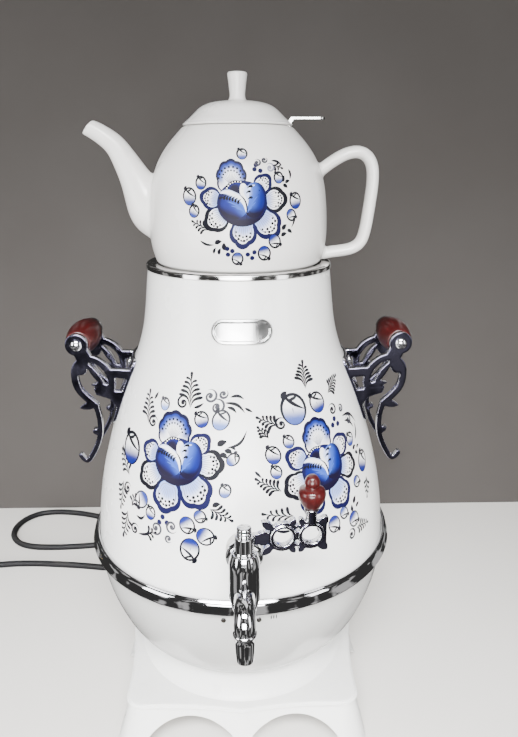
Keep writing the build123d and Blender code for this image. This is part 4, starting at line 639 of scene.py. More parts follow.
def arch_cutter(side, turn):
    """A round bar through the plinth, lying across it under one of its arches."""
    obj = started(
        "arch", bpy.ops.mesh.primitive_cylinder_add, vertices=160, radius=ARCH_RADIUS * MM, depth=0.26,
        rotation=(radians(90), 0, 0), location=(side * ARCH_SIDE * MM, 0, -ARCH_DROP * MM),
    )
    obj.data.transform(Matrix.Rotation(radians(turn), 4, "Z"))
    return obj


cut_away(base, *[arch_cutter(side, turn) for side in (-1, 1) for turn in (0, 90)])
dress(smoothed(base, 30), "plinth_white", satin, "plinth")

# ---- teapot

POT_LINE = [
    (63.6, 390), (67, 403), (67.6, 412), (66.7, 433), (64.6, 448), (60, 461.5), (53, 473), (41.6, 485.8),
]
pot_wall = smooth_line(POT_LINE, 3)
pot_top = [(40.9, 486.6), (39.9, 487.1), (38.9, 487.2), (0, 487.2)]
pot_under = [(0, 388), (54, 388), (54.3, 385.4), (54.9, 385), (58.2, 385), (58.8, 385.5), (59.4, 388.2)]
pot = turned("teapot_solid", pot_under + [(61.6, 388.6)] + pot_wall + pot_top, 128)

SPOUT_RINGS = [
    (-59, 429, 24.5, 20, 68), (-71, 436.5, 16.6, 15, 38), (-77.6, 450.5, 12, 11.5, 32),
    (-86.6, 467.2, 9.1, 9, 38), (-95.2, 477.8, 7.6, 7.6, 52), (-104.6, 484, 6.8, 6.8, 58),
    (-110.6, 487, 6.5, 6.3, 48),
]


def ring_sections(rings, share=1):
    """Sections for lofted from rings of (x, z, tall, wide, lean), all at a share of their size."""
    return [((x, 0, z), (tall * share, wide * share), lean) for x, z, tall, wide, lean in rings]


spout = lofted("spout_solid", ring_sections(smooth_line(SPOUT_RINGS, 5)), 40)

HANDLE_RINGS = [
    (50, 446), (58, 452.5), (66.5, 459.5), (76, 465.6), (86, 469.4), (94, 468.6), (99.6, 463.4),
    (102, 455), (101.6, 440), (99.8, 424), (97.6, 410), (94, 401.6), (87, 397.6), (76, 395.8),
    (62, 393.6),
]


def ear_sections(line, wide, deep):
    """Oval rings square to a line in the XZ plane."""
    rings = []
    for i, (x, z) in enumerate(line):
        before, after = line[max(i - 1, 0)], line[min(i + 1, len(line) - 1)]
        run = atan2(after[1] - before[1], after[0] - before[0])
        rings.append(((x, 0, z), (deep / 2, wide / 2), degrees(run) - 90))
    return rings


EAR_WIDE, EAR_DEEP = 14.5, 9.2
ear = lofted("ear_solid", ear_sections(smooth_line(HANDLE_RINGS, 4), EAR_WIDE, EAR_DEEP), 32)
teapot = joined("porcelain_teapot", [pot, spout, ear])
cast(teapot, 1.2, 8)
POT_THICKNESS, SPOUT_BORE = 4, 0.68
pot_hollow = smooth_line([(r - POT_THICKNESS, z) for r, z in POT_LINE[:-1]] + [(41.5, 481.2)], 4)
pot_mouth = [(33, 481.2), (33, 484.2), (36, 484.2), (36, 489), (0, 489)]
hollow = turned("hollow", [(0, 392), (55, 392)] + pot_hollow + pot_mouth, 96)
beyond = (-117, 493, 6.5, 6.3, 48)
bore = lofted("bore", ring_sections(smooth_line(SPOUT_RINGS[:-1] + [beyond], 6), SPOUT_BORE), 32)
notch = started(
    "notch", bpy.ops.mesh.primitive_cube_add, [side * MM for side in (30, 12, 15.8)],
    size=1, location=[side * MM for side in (45, 0, 492.1)],
)
cut_away(teapot, hollow, bore, notch)
pot_pieces = ("teapot_body", "teapot_spout", "teapot_handle")
dress(smoothed(teapot, 42), "porcelain", glaze, *pot_pieces, body="teapot")

lid_dome = smooth_line([(38.6, 490.2), (34, 494.2), (27.5, 500), (18, 503.6), (9, 504.6)], 2.5)
lid_knob = smooth_line(
    [(9, 504.6), (6.6, 505.4), (5.8, 507), (5.9, 512), (6.4, 516.5), (7.2, 522.2)], 1.2
)
lid_crown = [(7.1, 523.2), (6.6, 523.9), (5.4, 524.2), (0, 524.2)]
lid_under = [(0, 501), (9, 501), (24.6, 490), (24.6, 479.6), (28, 479.6), (28.1, 487.6), (39.9, 487.6)]
lid_edge = [(40.3, 487.9), (40.4, 488.3), (40.3, 488.9), (39.8, 489.3), (38.9, 489.6), (38.6, 490.2)]
lid = turned("domed_lid", lid_under + lid_edge + lid_dome[1:] + lid_knob[1:] + lid_crown, 128)
dress(smoothed(lid, 50), "porcelain", glaze, "teapot_lid", body="lid")

# ---- tap

TAP_X, TAP_Y, TAP_Z = 2.6, -162, 205
TAP_AXIS = (TAP_X, TAP_Y)
LEVER_TURN = radians(8)
barrel_line = [(0, 189), (7.1, 189), (7.6, 189.5)]
barrel_line += smooth_line(
    [(7.8, 190.2), (8.9, 194.6), (9.7, 199), (10, 204), (10, 213), (10, 221.6)], 1.5
)
barrel_line += smooth_line([(10, 222), (9.8, 225), (9.1, 227.6), (8.3, 230.2), (8, 231)], 0.8)[1:]
barrel_line += [(7.7, 231.4), (7.2, 231.5), (0, 231.5)]
barrel = turned("barrel", barrel_line, 64, TAP_AXIS)
shank_line = [(0, 8), (7, 8), (7, 27.8), (7.3, 29.2), (8.1, 30.9), (9.6, 32.9), (11, 34.3), (12.3, 34.6)]
shank_line += [(12.9, 35), (13, 35.6), (13, 36.8), (12.7, 37.3), (12.3, 37.4), (0, 37.4)]
shank = turned("shank", shank_line, 64)
tap_middle = Matrix.Translation((TAP_X * MM, TAP_Y * MM, TAP_Z * MM))
shank.data.transform(tap_middle @ Matrix.Rotation(radians(-90), 4, "X"))

PIPE_RADIUS, PIPE_BEND, PIPE_REACH, PIPE_DROP = 6.6, 11, 26, 0.6
PIPE_ROOT = 4  # how far the pipe starts inside the barrel


def bent_pipe(name):
    """A pipe that leaves the barrel forwards and bends down: a disc extruded and spun."""
    start = Vector((TAP_X, TAP_Y + PIPE_ROOT, TAP_Z)) * MM
    obj = started(
        name, bpy.ops.mesh.primitive_circle_add, vertices=48, radius=PIPE_RADIUS * MM,
        location=start, rotation=(radians(90), 0, 0),
    )
    begin_edit(obj)
    extruded(y=-(PIPE_REACH - PIPE_BEND + PIPE_ROOT) * MM)
    pivot = Vector((TAP_X, TAP_Y - PIPE_REACH + PIPE_BEND, TAP_Z - PIPE_BEND)) * MM
    bpy.ops.mesh.spin(steps=12, angle=radians(-90), center=pivot, axis=(1, 0, 0))
    extruded(z=-PIPE_DROP * MM)
    end_edit()
    return cleaned(obj)


pipe = bent_pipe("elbow")
nozzle_line = [
    (6.6, 194.2), (7, 193.9), (7.3, 193.3), (7.35, 192.7), (7.2, 192.1), (6.8, 191.6), (6.45, 191.2),
    (6.3, 187), (6.05, 181), (5.8, 174.2), (5.6, 173.6), (5.1, 173.2), (4.2, 173.2), (3.7, 173.6),
    (3.6, 174.4), (3.6, 194), (6.6, 194.2),
]
nozzle = turned("nozzle", nozzle_line, 48, (TAP_X, TAP_Y - PIPE_REACH))
tap = joined("tap_casting", [barrel, shank, pipe, nozzle])
dress(smoothed(tap, 45), "tap_chrome", chrome, "tap_body")

key_line = [
    (0, 231.7), (6.5, 231.7), (6.6, 232.2), (6.2, 232.8), (5.9, 233.4), (5.9, 242.3), (5.7, 242.9),
    (5.2, 243.2), (0, 243.2),
]
key = turned("key_neck", key_line, 48, TAP_AXIS)
stub_line = [(0, 183.6), (2.7, 183.6), (3, 184), (3, 192), (0, 192)]
key = joined("tap_key_plug", [key, turned("key_stub", stub_line, 32, TAP_AXIS)])
dress(smoothed(key, 40), "tap_chrome", chrome, "tap_key", body="tap_key")

cap_line = [
    (0, 243.3), (4.2, 243.3), (4.6, 243.6), (4.65, 244.3), (4.5, 244.8), (3.95, 245.1), (3.95, 245.4),
    (4.5, 245.7), (4.65, 246.2), (4.5, 246.7), (3.95, 247.1), (3.95, 247.4), (4.5, 247.7), (4.6, 248.3),
    (4.5, 248.9), (4, 249.4), (3.2, 249.6), (0, 249.6),
]
cap = turned("ringed_cap", cap_line, 48, TAP_AXIS)
dress(smoothed(cap, 50), "tap_chrome", chrome, "key_cap", body="tap_key")

lever_flat = Vector((-sin(LEVER_TURN), cos(LEVER_TURN), 0))
# flat faces painted dark as a reflection, edges in bright chrome
lever = softened("tap_lever", "cast_lever", 0.36, 3, lever_flat, bright_chrome)
dress(lever, "antique_chrome", painted_reflection_chrome, "tap_lever", body="tap_key")

KNOB_REACH = 42.2
knob_at = (TAP_X + KNOB_REACH * cos(LEVER_TURN), TAP_Y + KNOB_REACH * sin(LEVER_TURN))
knob_line = [(0, 258.9)] + smooth_line(
    [(3.6, 258.9), (4.9, 259.9), (6.4, 262.2), (7.9, 265.2), (8.7, 268.8), (7.6, 272), (4.6, 273.6)], 0.8
)
knob_line += smooth_line([(4.2, 274.1), (4.9, 275.9), (4.4, 278.4), (2.6, 280.9), (0, 281.4)], 0.7)
knob = turned("turned_knob", knob_line, 48, knob_at)
dress(smoothed(knob, 60), "red_wood", red_wood_up, "lever_knob", body="tap_key")

# ---- side handles

EYE_X, EYE_Z = 125.6, 328.2
GRIP_LINE = smooth_line([(9.6, -22.4), (11.5, -13), (12.6, 0), (11.5, 13), (9.6, 22.4)], 2)
grip_line = [(0, -23.4), (8.4, -23.4), (9.2, -23.1)] + GRIP_LINE + [(9.2, 23.1), (8.4, 23.4), (0, 23.4)]
for side, sign in (("right", 1), ("left", -1)):
    grip = turned(side + "_turned_grip", grip_line, 64)
    eye = Matrix.Translation((sign * EYE_X * MM, 0, EYE_Z * MM))
    grip.data.transform(eye @ Matrix.Rotation(radians(90), 4, "X"))
    dress(smoothed(grip, 50), "red_wood", red_wood, side + "_grip")
    bracket = side + "_handle_bracket"
    # flat faces painted dark as a reflection, edges in bright chrome
    scrolls = softened(bracket, side + "_scroll_handle", 0.6, 3, Vector((0, 1, 0)), bright_chrome)
    dress(scrolls, "antique_chrome", painted_reflection_chrome, bracket)

plate = softened("name_plate", "bare_plate", 0.3, 2)
dress(plate, "plate_steel", plate_metal, "name_plate")

# ---- painted roses

NAVY, BLACK, NIGHT = (0.004, 0.004, 0.036), (0.003, 0.003, 0.006), (0.005, 0.003, 0.014)
COBALT, BRIGHT, GLOW = (0.005, 0.01, 0.135), (0.012, 0.036, 0.27), (0.036, 0.095, 0.43)
SKY, PALE, WHITE = (0.23, 0.33, 0.7), (0.5, 0.57, 0.82), (0.8, 0.8, 0.8)
SMOKE, GREY = (0.23, 0.23, 0.3), (0.045, 0.045, 0.055)


def mixed(a, b, share):
    share = min(max(share, 0), 1)
    share = share * share * (3 - 2 * share)
    return tuple(p + (q - p) * share for p, q in zip(a, b))


STROKE_STEP, LEAST_HALF = 0.9, 0.03
CURL_TURN, SPRAY_SPREAD, SPRAY_BEND = 500, 50, 26  # degrees


class Film:
    """Paint laid flat in millimetres, stroke over stroke, and then wrapped on to a vessel.
    A place is a complex number, x to the right and y up, so that a turn is a product."""

    def __init__(self):
        self.points, self.faces, self.tints = [], [], []

    def put(self, layer, place, tint):
        self.points.append((place.real, place.imag, layer))
        self.tints.append(tint)

    def patch(self, layer, centre, reach, tint, turn=0, lobes=0, depth=0, around=36):
        """A rounded patch: tint is a colour, or gives one from the share of the radius and place."""
        first, shares = len(self.points) + 1, (0.3, 0.55, 0.75, 0.88, 1)
        shade = tint if callable(tint) else lambda share, u, w: tint
        self.put(layer, centre, shade(0, 0, 0))
        for share in shares:
            for i in range(around):
                t = 2 * pi * i / around
                edge = 1 - depth * (1 - abs(cos(lobes * t / 2)))
                x, y = share * edge * cos(t), share * edge * sin(t)
                place = centre + complex(x * reach[0], y * reach[1]) * way(turn)
                self.put(layer, place, shade(share, x, y))
        for i in range(around):
            j = (i + 1) % around
            self.faces.append((first - 1, first + i, first + j))
            for low in range(first, first + around * (len(shares) - 1), around):
                high = low + around
                self.faces.append((low + i, high + i, high + j, low + j))

    def stroke(self, layer, places, width, tint=BLACK, shape="leaf"):
        """A brush stroke along a smooth line: a leaf, a comma with a round head, or an even line."""
        if len(places) == 2:
            places = [places[0], sum(places) / 2, places[1]]
        line = [complex(*point) for point in smooth_line([(p.real, p.imag) for p in places], STROKE_STEP)]
        first, last = len(self.points), len(line) - 1
        for i, place in enumerate(line):
            t = i / last
            full = {
                "leaf": sin(pi * t ** 0.8) ** 0.8 if 0 < t < 1 else 0,
                "comma": min(1, 5 * t + 0.15) ** 0.5 * (1 - t) ** 0.75 * 1.15,
                "even": min(1, 8 * t + 0.2, 8 * (1 - t) + 0.2),
                "curl": min(1, 3 * t + 0.1) * (0.55 + 0.45 * sin(pi * t)),
            }[shape]
            run = line[min(i + 1, last)] - line[max(i - 1, 0)]
            side = 1j * run / (abs(run) or 1) * max(width / 2 * full, LEAST_HALF)
            self.put(layer, place + side, tint)
            self.put(layer, place - side, tint)
        for a in range(first, first + 2 * last, 2):
            self.faces.append((a, a + 1, a + 3, a + 2))

    def dot(self, layer, place, radius, tint=BLACK):
        first = len(self.points)
        for i in range(8):
            self.put(layer, place + radius * way(45 * i), tint)
        self.faces.append(tuple(range(first, first + 8)))

    def curl(self, middle, radius, start, hand, tint, width):
        """A spiral that winds in to a round head."""
        line = []
        for i in range(15):
            t = i / 14
            line.append(middle + radius * (1 - 0.8 * t) * way(start + hand * CURL_TURN * t))
        self.stroke(1, line, width, tint, "curl")
        self.dot(1, middle, 0.3 * radius, tint)

    def spray(self, root, tip, pairs, length, width):
        """A feathery twig: commas in pairs that shorten to the tip."""
        ahead = (tip - root) / abs(tip - root)
        self.stroke(1, [root, tip], 0.7, shape="even")
        for i in range(pairs):
            t = i / pairs
            size = length * (1.22 - 0.8 * t)
            for side in (-1, 1):
                foot = root + (tip - root) * (t + 0.05 * side)
                out = ahead * way(side * SPRAY_SPREAD)
                bend = out * way(-side * SPRAY_BEND)
                comma = [foot + out * size, foot + bend * size * 0.5, foot + out * 0.5]
                self.stroke(1, comma, width * (1 - 0.25 * t), shape="comma")
        self.stroke(1, [tip + ahead * length * 0.5, tip - ahead * length * 0.2], width, shape="comma")

    def bud(self, middle, radius, toward, deep):
        """A bud: its outline is thick round the sepals and thins out where white turns to blue."""
        ahead, edge, tall = way(toward), max(1.2, 0.19 * radius), radius * 1.12
        ink = mixed(GREY, BLACK, 0.2 + deep)
        full = mixed(SKY, mixed(BRIGHT, COBALT, deep), 0.15 + deep)

        def tint(share, u, w):
            return mixed(mixed(WHITE, full, 0.42 + 0.95 * w), NAVY, (w - 0.8) * 2.2)

        self.patch(1, middle, (radius, tall), ink, toward - 90, around=22)
        inner = (radius - edge, tall - edge * 0.72)
        self.patch(2, middle + 0.42 * edge * ahead, inner, tint, toward - 90, around=22)
        for points, width, shade in (
            ([1.02+0.72j, 0.6+0.3j, 0.2-0.3j, -0.05-0.86j], 0.26, ink),
            ([0.62+0.32j, 0.8-0.2j, 1.05-0.42j], 0.22, ink),
            ([0.6+0.62j, 0.98+0.6j, 1.22+0.36j], 0.46, ink),
            ([0.1+0.1j, -0.3+0.05j], 0.1, SMOKE),
        ):
            line = [middle - ahead * radius * point for point in points]
            self.stroke(3, line, width * radius, shade)

    def petal(self, middle, reach, toward, ink, wash):
        """A lobed petal behind the rose: a brushed outline, a pale wash, a contour and dots."""
        ahead, edge = way(toward), 0.2 * min(reach) + 0.5
        lobed = {"turn": toward, "lobes": 5 if reach[0] > 10 else 4, "depth": 0.12, "around": 60}

        def at(along, across):
            return middle + complex(along * reach[0], across * reach[1]) * ahead

        def tint(share, u, w):
            return mixed(mixed(WHITE, SKY, 1.6 * wash - 0.9 * u), WHITE, share * 0.4 + 0.6 * u)

        self.patch(1, middle, reach, ink, **lobed)
        for size, layer, shade in ((1, 2, tint), (0.84, 3, SMOKE), (0.77, 3.5, tint)):
            inner = [(r - edge) * size for r in reach]
            self.patch(layer, middle - 0.5 * edge * ahead, inner, shade, **lobed)
        for i in range(-3, 4):
            self.stroke(4, [at(-0.62, 0.07 * i), at(0.24 - 0.03 * i * i, 0.17 * i)], 0.42, SMOKE)
        for row, count in ((0.5, 6), (0.28, 5)):
            for i in range(count):
                t = 2 * i / (count - 1) - 1
                radius = 0.086 * min(reach) * (1.1 if i % 2 else 0.85)
                self.dot(4.5, at(row - 0.26 * t * t, 0.5 * t), radius)

    def leaf(self, middle, length, width, angle):
        ahead = length * way(angle)
        self.stroke(1, [middle - ahead / 2, middle + 0.12j * ahead, middle + ahead / 2], width)

    def fan(self, middle, reach):
        """The tall petal above the rose: navy at its edge, white at its foot, with rays and dots."""
        edge = 0.13 * reach[1]
        lobed = {"turn": 90, "lobes": 9, "depth": 0.08, "around": 72}

        def tint(share, u, w):
            rim = mixed(WHITE, GLOW, (share - 0.34) * 2)
            return mixed(mixed(rim, COBALT, (share - 0.62) * 2.6), WHITE, 0.15 - 1.3 * u)

        self.patch(1, middle, reach, mixed(NAVY, BLACK, 0.5), **lobed)
        self.patch(2, middle - 0.4j * edge, [r - edge for r in reach], tint, **lobed)
        for i in range(11):
            ray = 0.44 * reach[0] * way(90 + (i - 5) * 14)
            foot = middle + complex(ray.real * 0.1, -0.45 * reach[1])
            self.stroke(4, [foot, middle + ray - 1.5j], 0.4, SMOKE)
        for row, count, span, size in ((0.66, 10, 185, 0.06), (0.48, 9, 170, 0.05)):
            for i in range(count):
                ray = row * reach[0] * way(90 + (i - (count - 1) / 2) * span / count)
                self.dot(4.5, middle + ray - 1.5j, size * reach[0])

    def rose(self, middle, size):
        """The heart: a blue ball black below, two lobes that part at a stem, a hollow and brushwork."""
        def part(layer, at, reach, tint, turn=0):
            self.patch(layer, middle + at * size, [r * size for r in reach], tint, turn)

        def brush(layer, points, width, tint, shape="leaf"):
            self.stroke(layer, [middle + point * size for point in points], width * size, tint, shape)

        def ball(share, u, w):
            shade = mixed(mixed(BRIGHT, COBALT, share), NAVY, (share - 0.66) * 3.2)
            return mixed(shade, NIGHT, (-w - 0.22) * 2.1)

        def right_lobe(share, u, w):
            light = mixed(PALE, GLOW, 1.5 * hypot(u + 0.8, w - 0.42))
            shade = mixed(light, COBALT, 0.42 + 1.05 * u - 0.2 * w)
            return mixed(mixed(shade, NAVY, (share - 0.66) * 3.2 * (u + 0.6)), NIGHT, (-w - 0.26) * 2)

        def left_lobe(share, u, w):
            shade = mixed(mixed(PALE, GLOW, 2.2 * (0.82 - w)), COBALT, 0.7 - 0.95 * w - 0.55 * u)
            return mixed(mixed(shade, NAVY, (share - 0.66) * 3.2 * (0.4 - u)), NIGHT, (-w - 0.22) * 2)

        def hollow(share, u, w):
            return mixed(NIGHT, COBALT, (share - 0.5) * 1.4 + 0.3 * w)

        part(5, -1j, (19.3, 17), ball)
        part(5.4, 9.4+1.6j, (9.4, 13.2), right_lobe, -6)
        part(5.7, -7.4-2.2j, (11.4, 10.2), left_lobe, -24)
        part(6, -5+9.6j, (5.6, 5.2), hollow, -20)
        part(6, 1.4+9j, (3, 5), lambda share, u, w: mixed(WHITE, PALE, 0.5 + u - w), 12)
        brush(6.4, [-12.4+8.2j, -10.2+12.6j, -5.8+15.2j, -0.6+14.8j], 1.8, BLACK, "even")
        for point in smooth_line([(-11.4, 10.4), (-9.4, 13), (-5.6, 15), (-1, 14.8)], 2.1):
            self.dot(7, middle + complex(*point) * size, 0.55 * size, WHITE)
        for points, width, shade in (
            ([-17+6.6j, -11.5+7.6j, -6.4+5.6j, -1.6+3.2j, 1.6-1.2j, 2.8-7.4j], 4.4, PALE),
            ([-15.6+7j, -10.6+7.4j, -6+5.5j, -1.5+3j, 1.6-1.4j, 2.8-7j], 2.9, WHITE),
            ([0.4+13.2j, -0.7+9.4j, 0.4+5.4j, 2.6+1.8j, 3.5-4j], 2.6, WHITE),
            ([10+12.6j, 6.4+11.4j, 4.4+8j, 4+3j, 3.9-3j], 2.4, PALE),
        ):
            brush(7, points, width, shade)
        for p in (-11+0.5j, -8.4-2.6j, -5-4.6j, 11.6+4.4j, 10.4+0j, 7.6-3.8j):
            brush(6.2, [p, complex(p.real * 0.45 + 1.9, p.imag * 0.5 - 3.2), 3.2-9j], 1, GLOW)
        for i in range(6):
            p = complex(-12.6 + 2.1 * i, 4.4 - 0.12 * i * i)
            brush(8, [p - (0.9+2.7j), p - (0.8+0.6j), p + (1.3+0.9j)], 2.1, BLACK, "comma")
        brush(8, [-17.6+2.6j, -15.6+3.4j, -13.6+3.6j], 2, BLACK, "comma")
        for p, reach in ((8.2+11.6j, 4.6), (6.6+7.8j, 3.8), (8+3.4j, 4)):
            brush(8, [p, p - 0.5 * reach + 0.1j, p - reach - 1.5j], 2.2, BLACK, "comma")
        brush(8, [-2.2+5.8j, 1.2+2.6j, 3.2-2j, 3.5-8j, 3.2-13.5j], 1.2, NIGHT)


LAYER = 0.03  # how far one layer of paint stands above the one below it


def on_vessel(film, name, wall, azimuth, height, lift):
    """Lays a film on a wall: x runs round it to the right and y up along it from one place."""
    wall = sorted(wall, key=lambda p: p[1])
    r, z = np.array(wall).T
    s = np.concatenate([[0], np.cumsum(np.hypot(np.diff(r), np.diff(z)))])
    slope_r, slope_z = np.gradient(r, s), np.gradient(z, s)
    flat = np.array(film.points)
    along = np.interp(height, z, s) + flat[:, 1]
    out = lift + LAYER * flat[:, 2]
    radius = np.interp(along, s, r)
    turn = radians(azimuth) + flat[:, 0] / radius
    reach = radius + out * np.interp(along, s, slope_z)
    level = np.interp(along, s, z) - out * np.interp(along, s, slope_r)
    places = np.stack([reach * np.sin(turn), -reach * np.cos(turn), level], 1) * MM
    mesh = bpy.data.meshes.new(name)
    mesh.from_pydata(places.tolist(), [], film.faces)
    paint = mesh.color_attributes.new("tint", "FLOAT_COLOR", "POINT")
    for item, (red, green, blue) in zip(paint.data, film.tints):
        item.color = (red, green, blue, 1)
    shape = bmesh.new()
    shape.from_mesh(mesh)
    for face in shape.faces:  # every patch faces away from the vessel's axis
        face.normal_update()
        centre = face.calc_center_median()
        if face.normal.x * centre.x + face.normal.y * centre.y < 0:
            face.normal_flip()
        face.smooth = True
    shape.to_mesh(mesh)
    shape.free()
    return in_scene(name, mesh)


# fan and petals: place, reach, the way that it points, ink, blue wash; buds: place, radius, the
# way that it points, depth; curls: place, radius, start, hand, ink; sprays: root, tip, pairs,
# length; leaves: place, length, width, angle
ROSE_LEFT = {
    "fan": (-7+19.5j, (15, 14.5)),
    "petals": [
        (14.5+13j, (9, 8.2), 50, NAVY, 0.1), (-25+1.5j, (9, 9), 165, NAVY, 0.5),
        (23-0.5j, (11, 11), 0, BLACK, 0.1), (-23.5-15.5j, (12, 11), 215, BLACK, 0.1),
        (14.5-20j, (14.5, 13), 310, NAVY, 0.6), (-7-27.5j, (13, 12.5), 262, NAVY, 0.7),
    ],
    "rose": (-1.2-0.5j, 1),
    "buds": [
        (-48-3j, 11, 275, 0.9), (-18+37j, 4.4, 275, 0.2), (13+30.5j, 5.5, 290, 0.8),
        (27+31j, 6.6, 265, 0.35), (39+4j, 4.6, 225, 0.6), (36-18j, 4.6, 270, 0.5),
        (20-37.5j, 4.6, 135, 0.7), (11-45j, 6, 125, 0.8), (25-51.5j, 6.4, 150, 0.8),
        (14-62.5j, 7.8, 85, 0.8), (-20-43j, 4.8, 265, 1), (-30-36j, 6.4, 40, 0.7),
    ],
    "berries": [-9-43j, -11.5-47.5j, -5-46.5j],
    "curls": [
        (-3+40.5j, 5.2, 30, 1, BLACK), (-27+22j, 4.8, 10, 1, BLACK), (-45-11j, 3.6, 20, 1, BLACK),
        (-47-33j, 4.6, 20, 1, BLACK), (-35-60j, 4.6, 20, 1, BLACK), (17+47j, 5.2, 120, -1, GREY),
        (26+49j, 3.4, 60, -1, GREY), (23+40j, 6, 150, -1, GREY), (-14-52.5j, 5.6, 200, 1, GREY),
        (-1-48.5j, 5, 330, -1, GREY), (-3-58j, 3, 330, -1, GREY),
    ],
    "sprays": [
        (3+38j, 1+58j, 5, 9), (-32+20j, -35+40j, 5, 7.5), (-47-23j, -60-10j, 4, 6.5),
        (-53-30j, -54-48j, 4, 7), (-44-50j, -48-68j, 4, 7.5), (27-31j, 41-38j, 4, 6),
        (-40-44j, -37-36j, 2, 5), (-24-60j, -16-57j, 2, 5.5),
    ],
    "leaves": [
        (30+14.5j, 7, 4.6, 25), (32+6j, 6, 3.8, 330), (35+9j, 6, 3.6, 340), (31-28.5j, 6, 3.8, 20),
        (32+15.5j, 3.5, 2, 60), (38+11.5j, 4.5, 2, 330),
    ],
    "strokes": [
        (28+43j, 36+42j, 43+36j), (31+47j, 36+48j, 41+45.5j), (30+40j, 34+39j, 37+36j),
        (34+12j, 42+15j, 46+24j), (-29+38j, -26+44j), (-62-5j, -58-9j, -52-12j),
        (-31-62j, -24-60.5j, -16-55.5j), (-34-49j, -29-50j, -25-46j), (6+38j, 9+39j, 13+42j),
        (-50-72j, -47-66j),
    ],
}

ROSE_RIGHT = {
    "fan": (18.5j, (15, 13.5)),
    "petals": [
        (-20+7j, (9.5, 9), 150, NAVY, 0.4), (21+7.5j, (10, 9), 25, NAVY, 0.1),
        (26-10j, (11, 10), 345, BLACK, 0.2), (-23-12j, (11.5, 10.5), 205, BLACK, 0.1),
        (-12-26j, (12, 11), 245, NAVY, 0.5), (13.5-27j, (13, 12), 300, NAVY, 0.6),
    ],
    "rose": (1-3.5j, 0.99),
    "buds": [
        (-15+42j, 10.5, 265, 0.55), (6+43j, 7.2, 280, 0.8), (-24+20j, 4.6, 270, 0.7),
        (-37+12j, 6, 265, 0.8), (-37, 4.6, 265, 0.7), (35+7j, 5, 270, 0.7), (49-15j, 7.6, 250, 0.8),
        (35-26j, 4.6, 130, 0.7), (15-43j, 4.6, 120, 0.6), (4-48j, 6, 100, 0.8), (26-52j, 6, 120, 0.8),
    ],
    "berries": [20+27j, 17+23j, 23+22.5j],
    "curls": [
        (-27+33j, 4.8, 30, 1, BLACK), (20+34j, 4.6, 150, -1, BLACK), (30+32j, 3.2, 150, -1, GREY),
        (22-63j, 4.8, 150, -1, BLACK), (38+21j, 4, 150, -1, GREY), (-8-46j, 4.6, 30, 1, GREY),
    ],
    "sprays": [
        (-2+55j, 71j, 5, 8), (19+47j, 32+55j, 5, 6.5), (-29+32j, -41+38j, 4, 6),
        (-38+24j, -43+31j, 3, 4.5), (-36-14j, -50-5j, 5, 6.5), (-30-33j, -49-29j, 4, 6.5),
        (29-60j, 44-63j, 4, 5.5), (52-29j, 49-42j, 3, 5.5),
    ],
    "leaves": [
        (39-1j, 5.5, 3, 20), (41-6j, 5, 2.8, 330), (45-2j, 4.5, 2.4, 10), (29-38j, 6, 3.6, 60),
        (25-43j, 5.5, 3.2, 100), (32-43j, 5, 2.8, 30), (-24-38j, 6.5, 3.8, 200), (-29-42j, 6, 3.4, 230),
    ],
    "strokes": [
        (30+26j, 40+25j, 50+15j), (32+22j, 38+20j, 44+13j), (-50+46j, -45+43j), (-52+2j, -48-3j),
        (-44-41j, -38-43j, -30-42j), (43+4j, 47+10j, 47+16j),
    ],
}

ROSE_TEAPOT = {
    "fan": (-7.5+14.5j, (13, 10.5)),
    "petals": [
        (13.5+10.5j, (7.6, 6.6), 50, NAVY, 0.1), (-21.5+1j, (8.4, 7.6), 170, NAVY, 0.4),
        (22.5, (9.4, 8.6), 0, BLACK, 0.1), (-18-12.5j, (10, 8.8), 215, BLACK, 0.2),
        (16.5-15.5j, (12, 10.2), 315, NAVY, 0.5), (-21j, (11.5, 9.6), 265, NAVY, 0.7),
    ],
    "rose": (-0.5-1.5j, 0.88),
    "buds": [
        (31j, 3.9, 270, 0.6), (-28.5+11j, 4.2, 265, 0.8), (-37.5+2j, 5.5, 270, 0.7),
        (-34-7.5j, 4.2, 250, 0.7), (25+14.5j, 3.8, 275, 0.6), (38.5-1j, 5.2, 280, 0.8),
        (35-10.5j, 4, 130, 0.7), (22-27.5j, 4.6, 120, 0.8), (14.5-35.5j, 4.8, 100, 0.8),
        (-4-39j, 4.2, 90, 0.7),
    ],
    "berries": [-11-32j, -10.5-36j, -7.5-33.5j, 3-36j, 7.5-34.5j, 6-38.5j, 8+20j, 12+19j, 9+23j],
    "curls": [
        (10+24.5j, 2.6, 120, -1, GREY), (15+26.5j, 2.2, 60, -1, GREY), (19+21j, 3.4, 150, -1, SMOKE),
    ],
    "sprays": [(-23-20j, -34-15j, 4, 5), (21+23j, 27+21j, 2, 3.5)],
    "leaves": [
        (29+13.5j, 4.6, 3, 75), (32+11.5j, 4.2, 2.4, 20), (30+8.5j, 4.4, 2.6, 330),
        (-17-28j, 5.2, 3.2, 20), (-12.5-30.5j, 5.4, 3.4, 100), (-16-34j, 4.8, 2.4, 75),
        (-19.5-33.5j, 4.6, 2, 70), (29.5-18.5j, 5, 3.2, 50), (33.5-21.5j, 4.8, 2.6, 330),
        (29-23.5j, 4.8, 3, 20),
    ],
    "strokes": [
        (33+20j, 34.5+17j, 34+13j), (-30-27j, -25-29.5j, -20-29.5j), (37-8j, 37.5-14j, 35-19j),
        (20+26j, 24+25.5j, 28+22.5j), (-26-13j, -23-19j),
    ],
}


# brush widths
BERRY, CURL, SPRAY, LINE, HEAT = 2.1, 1.7, 2.5, 2.2, 0.75


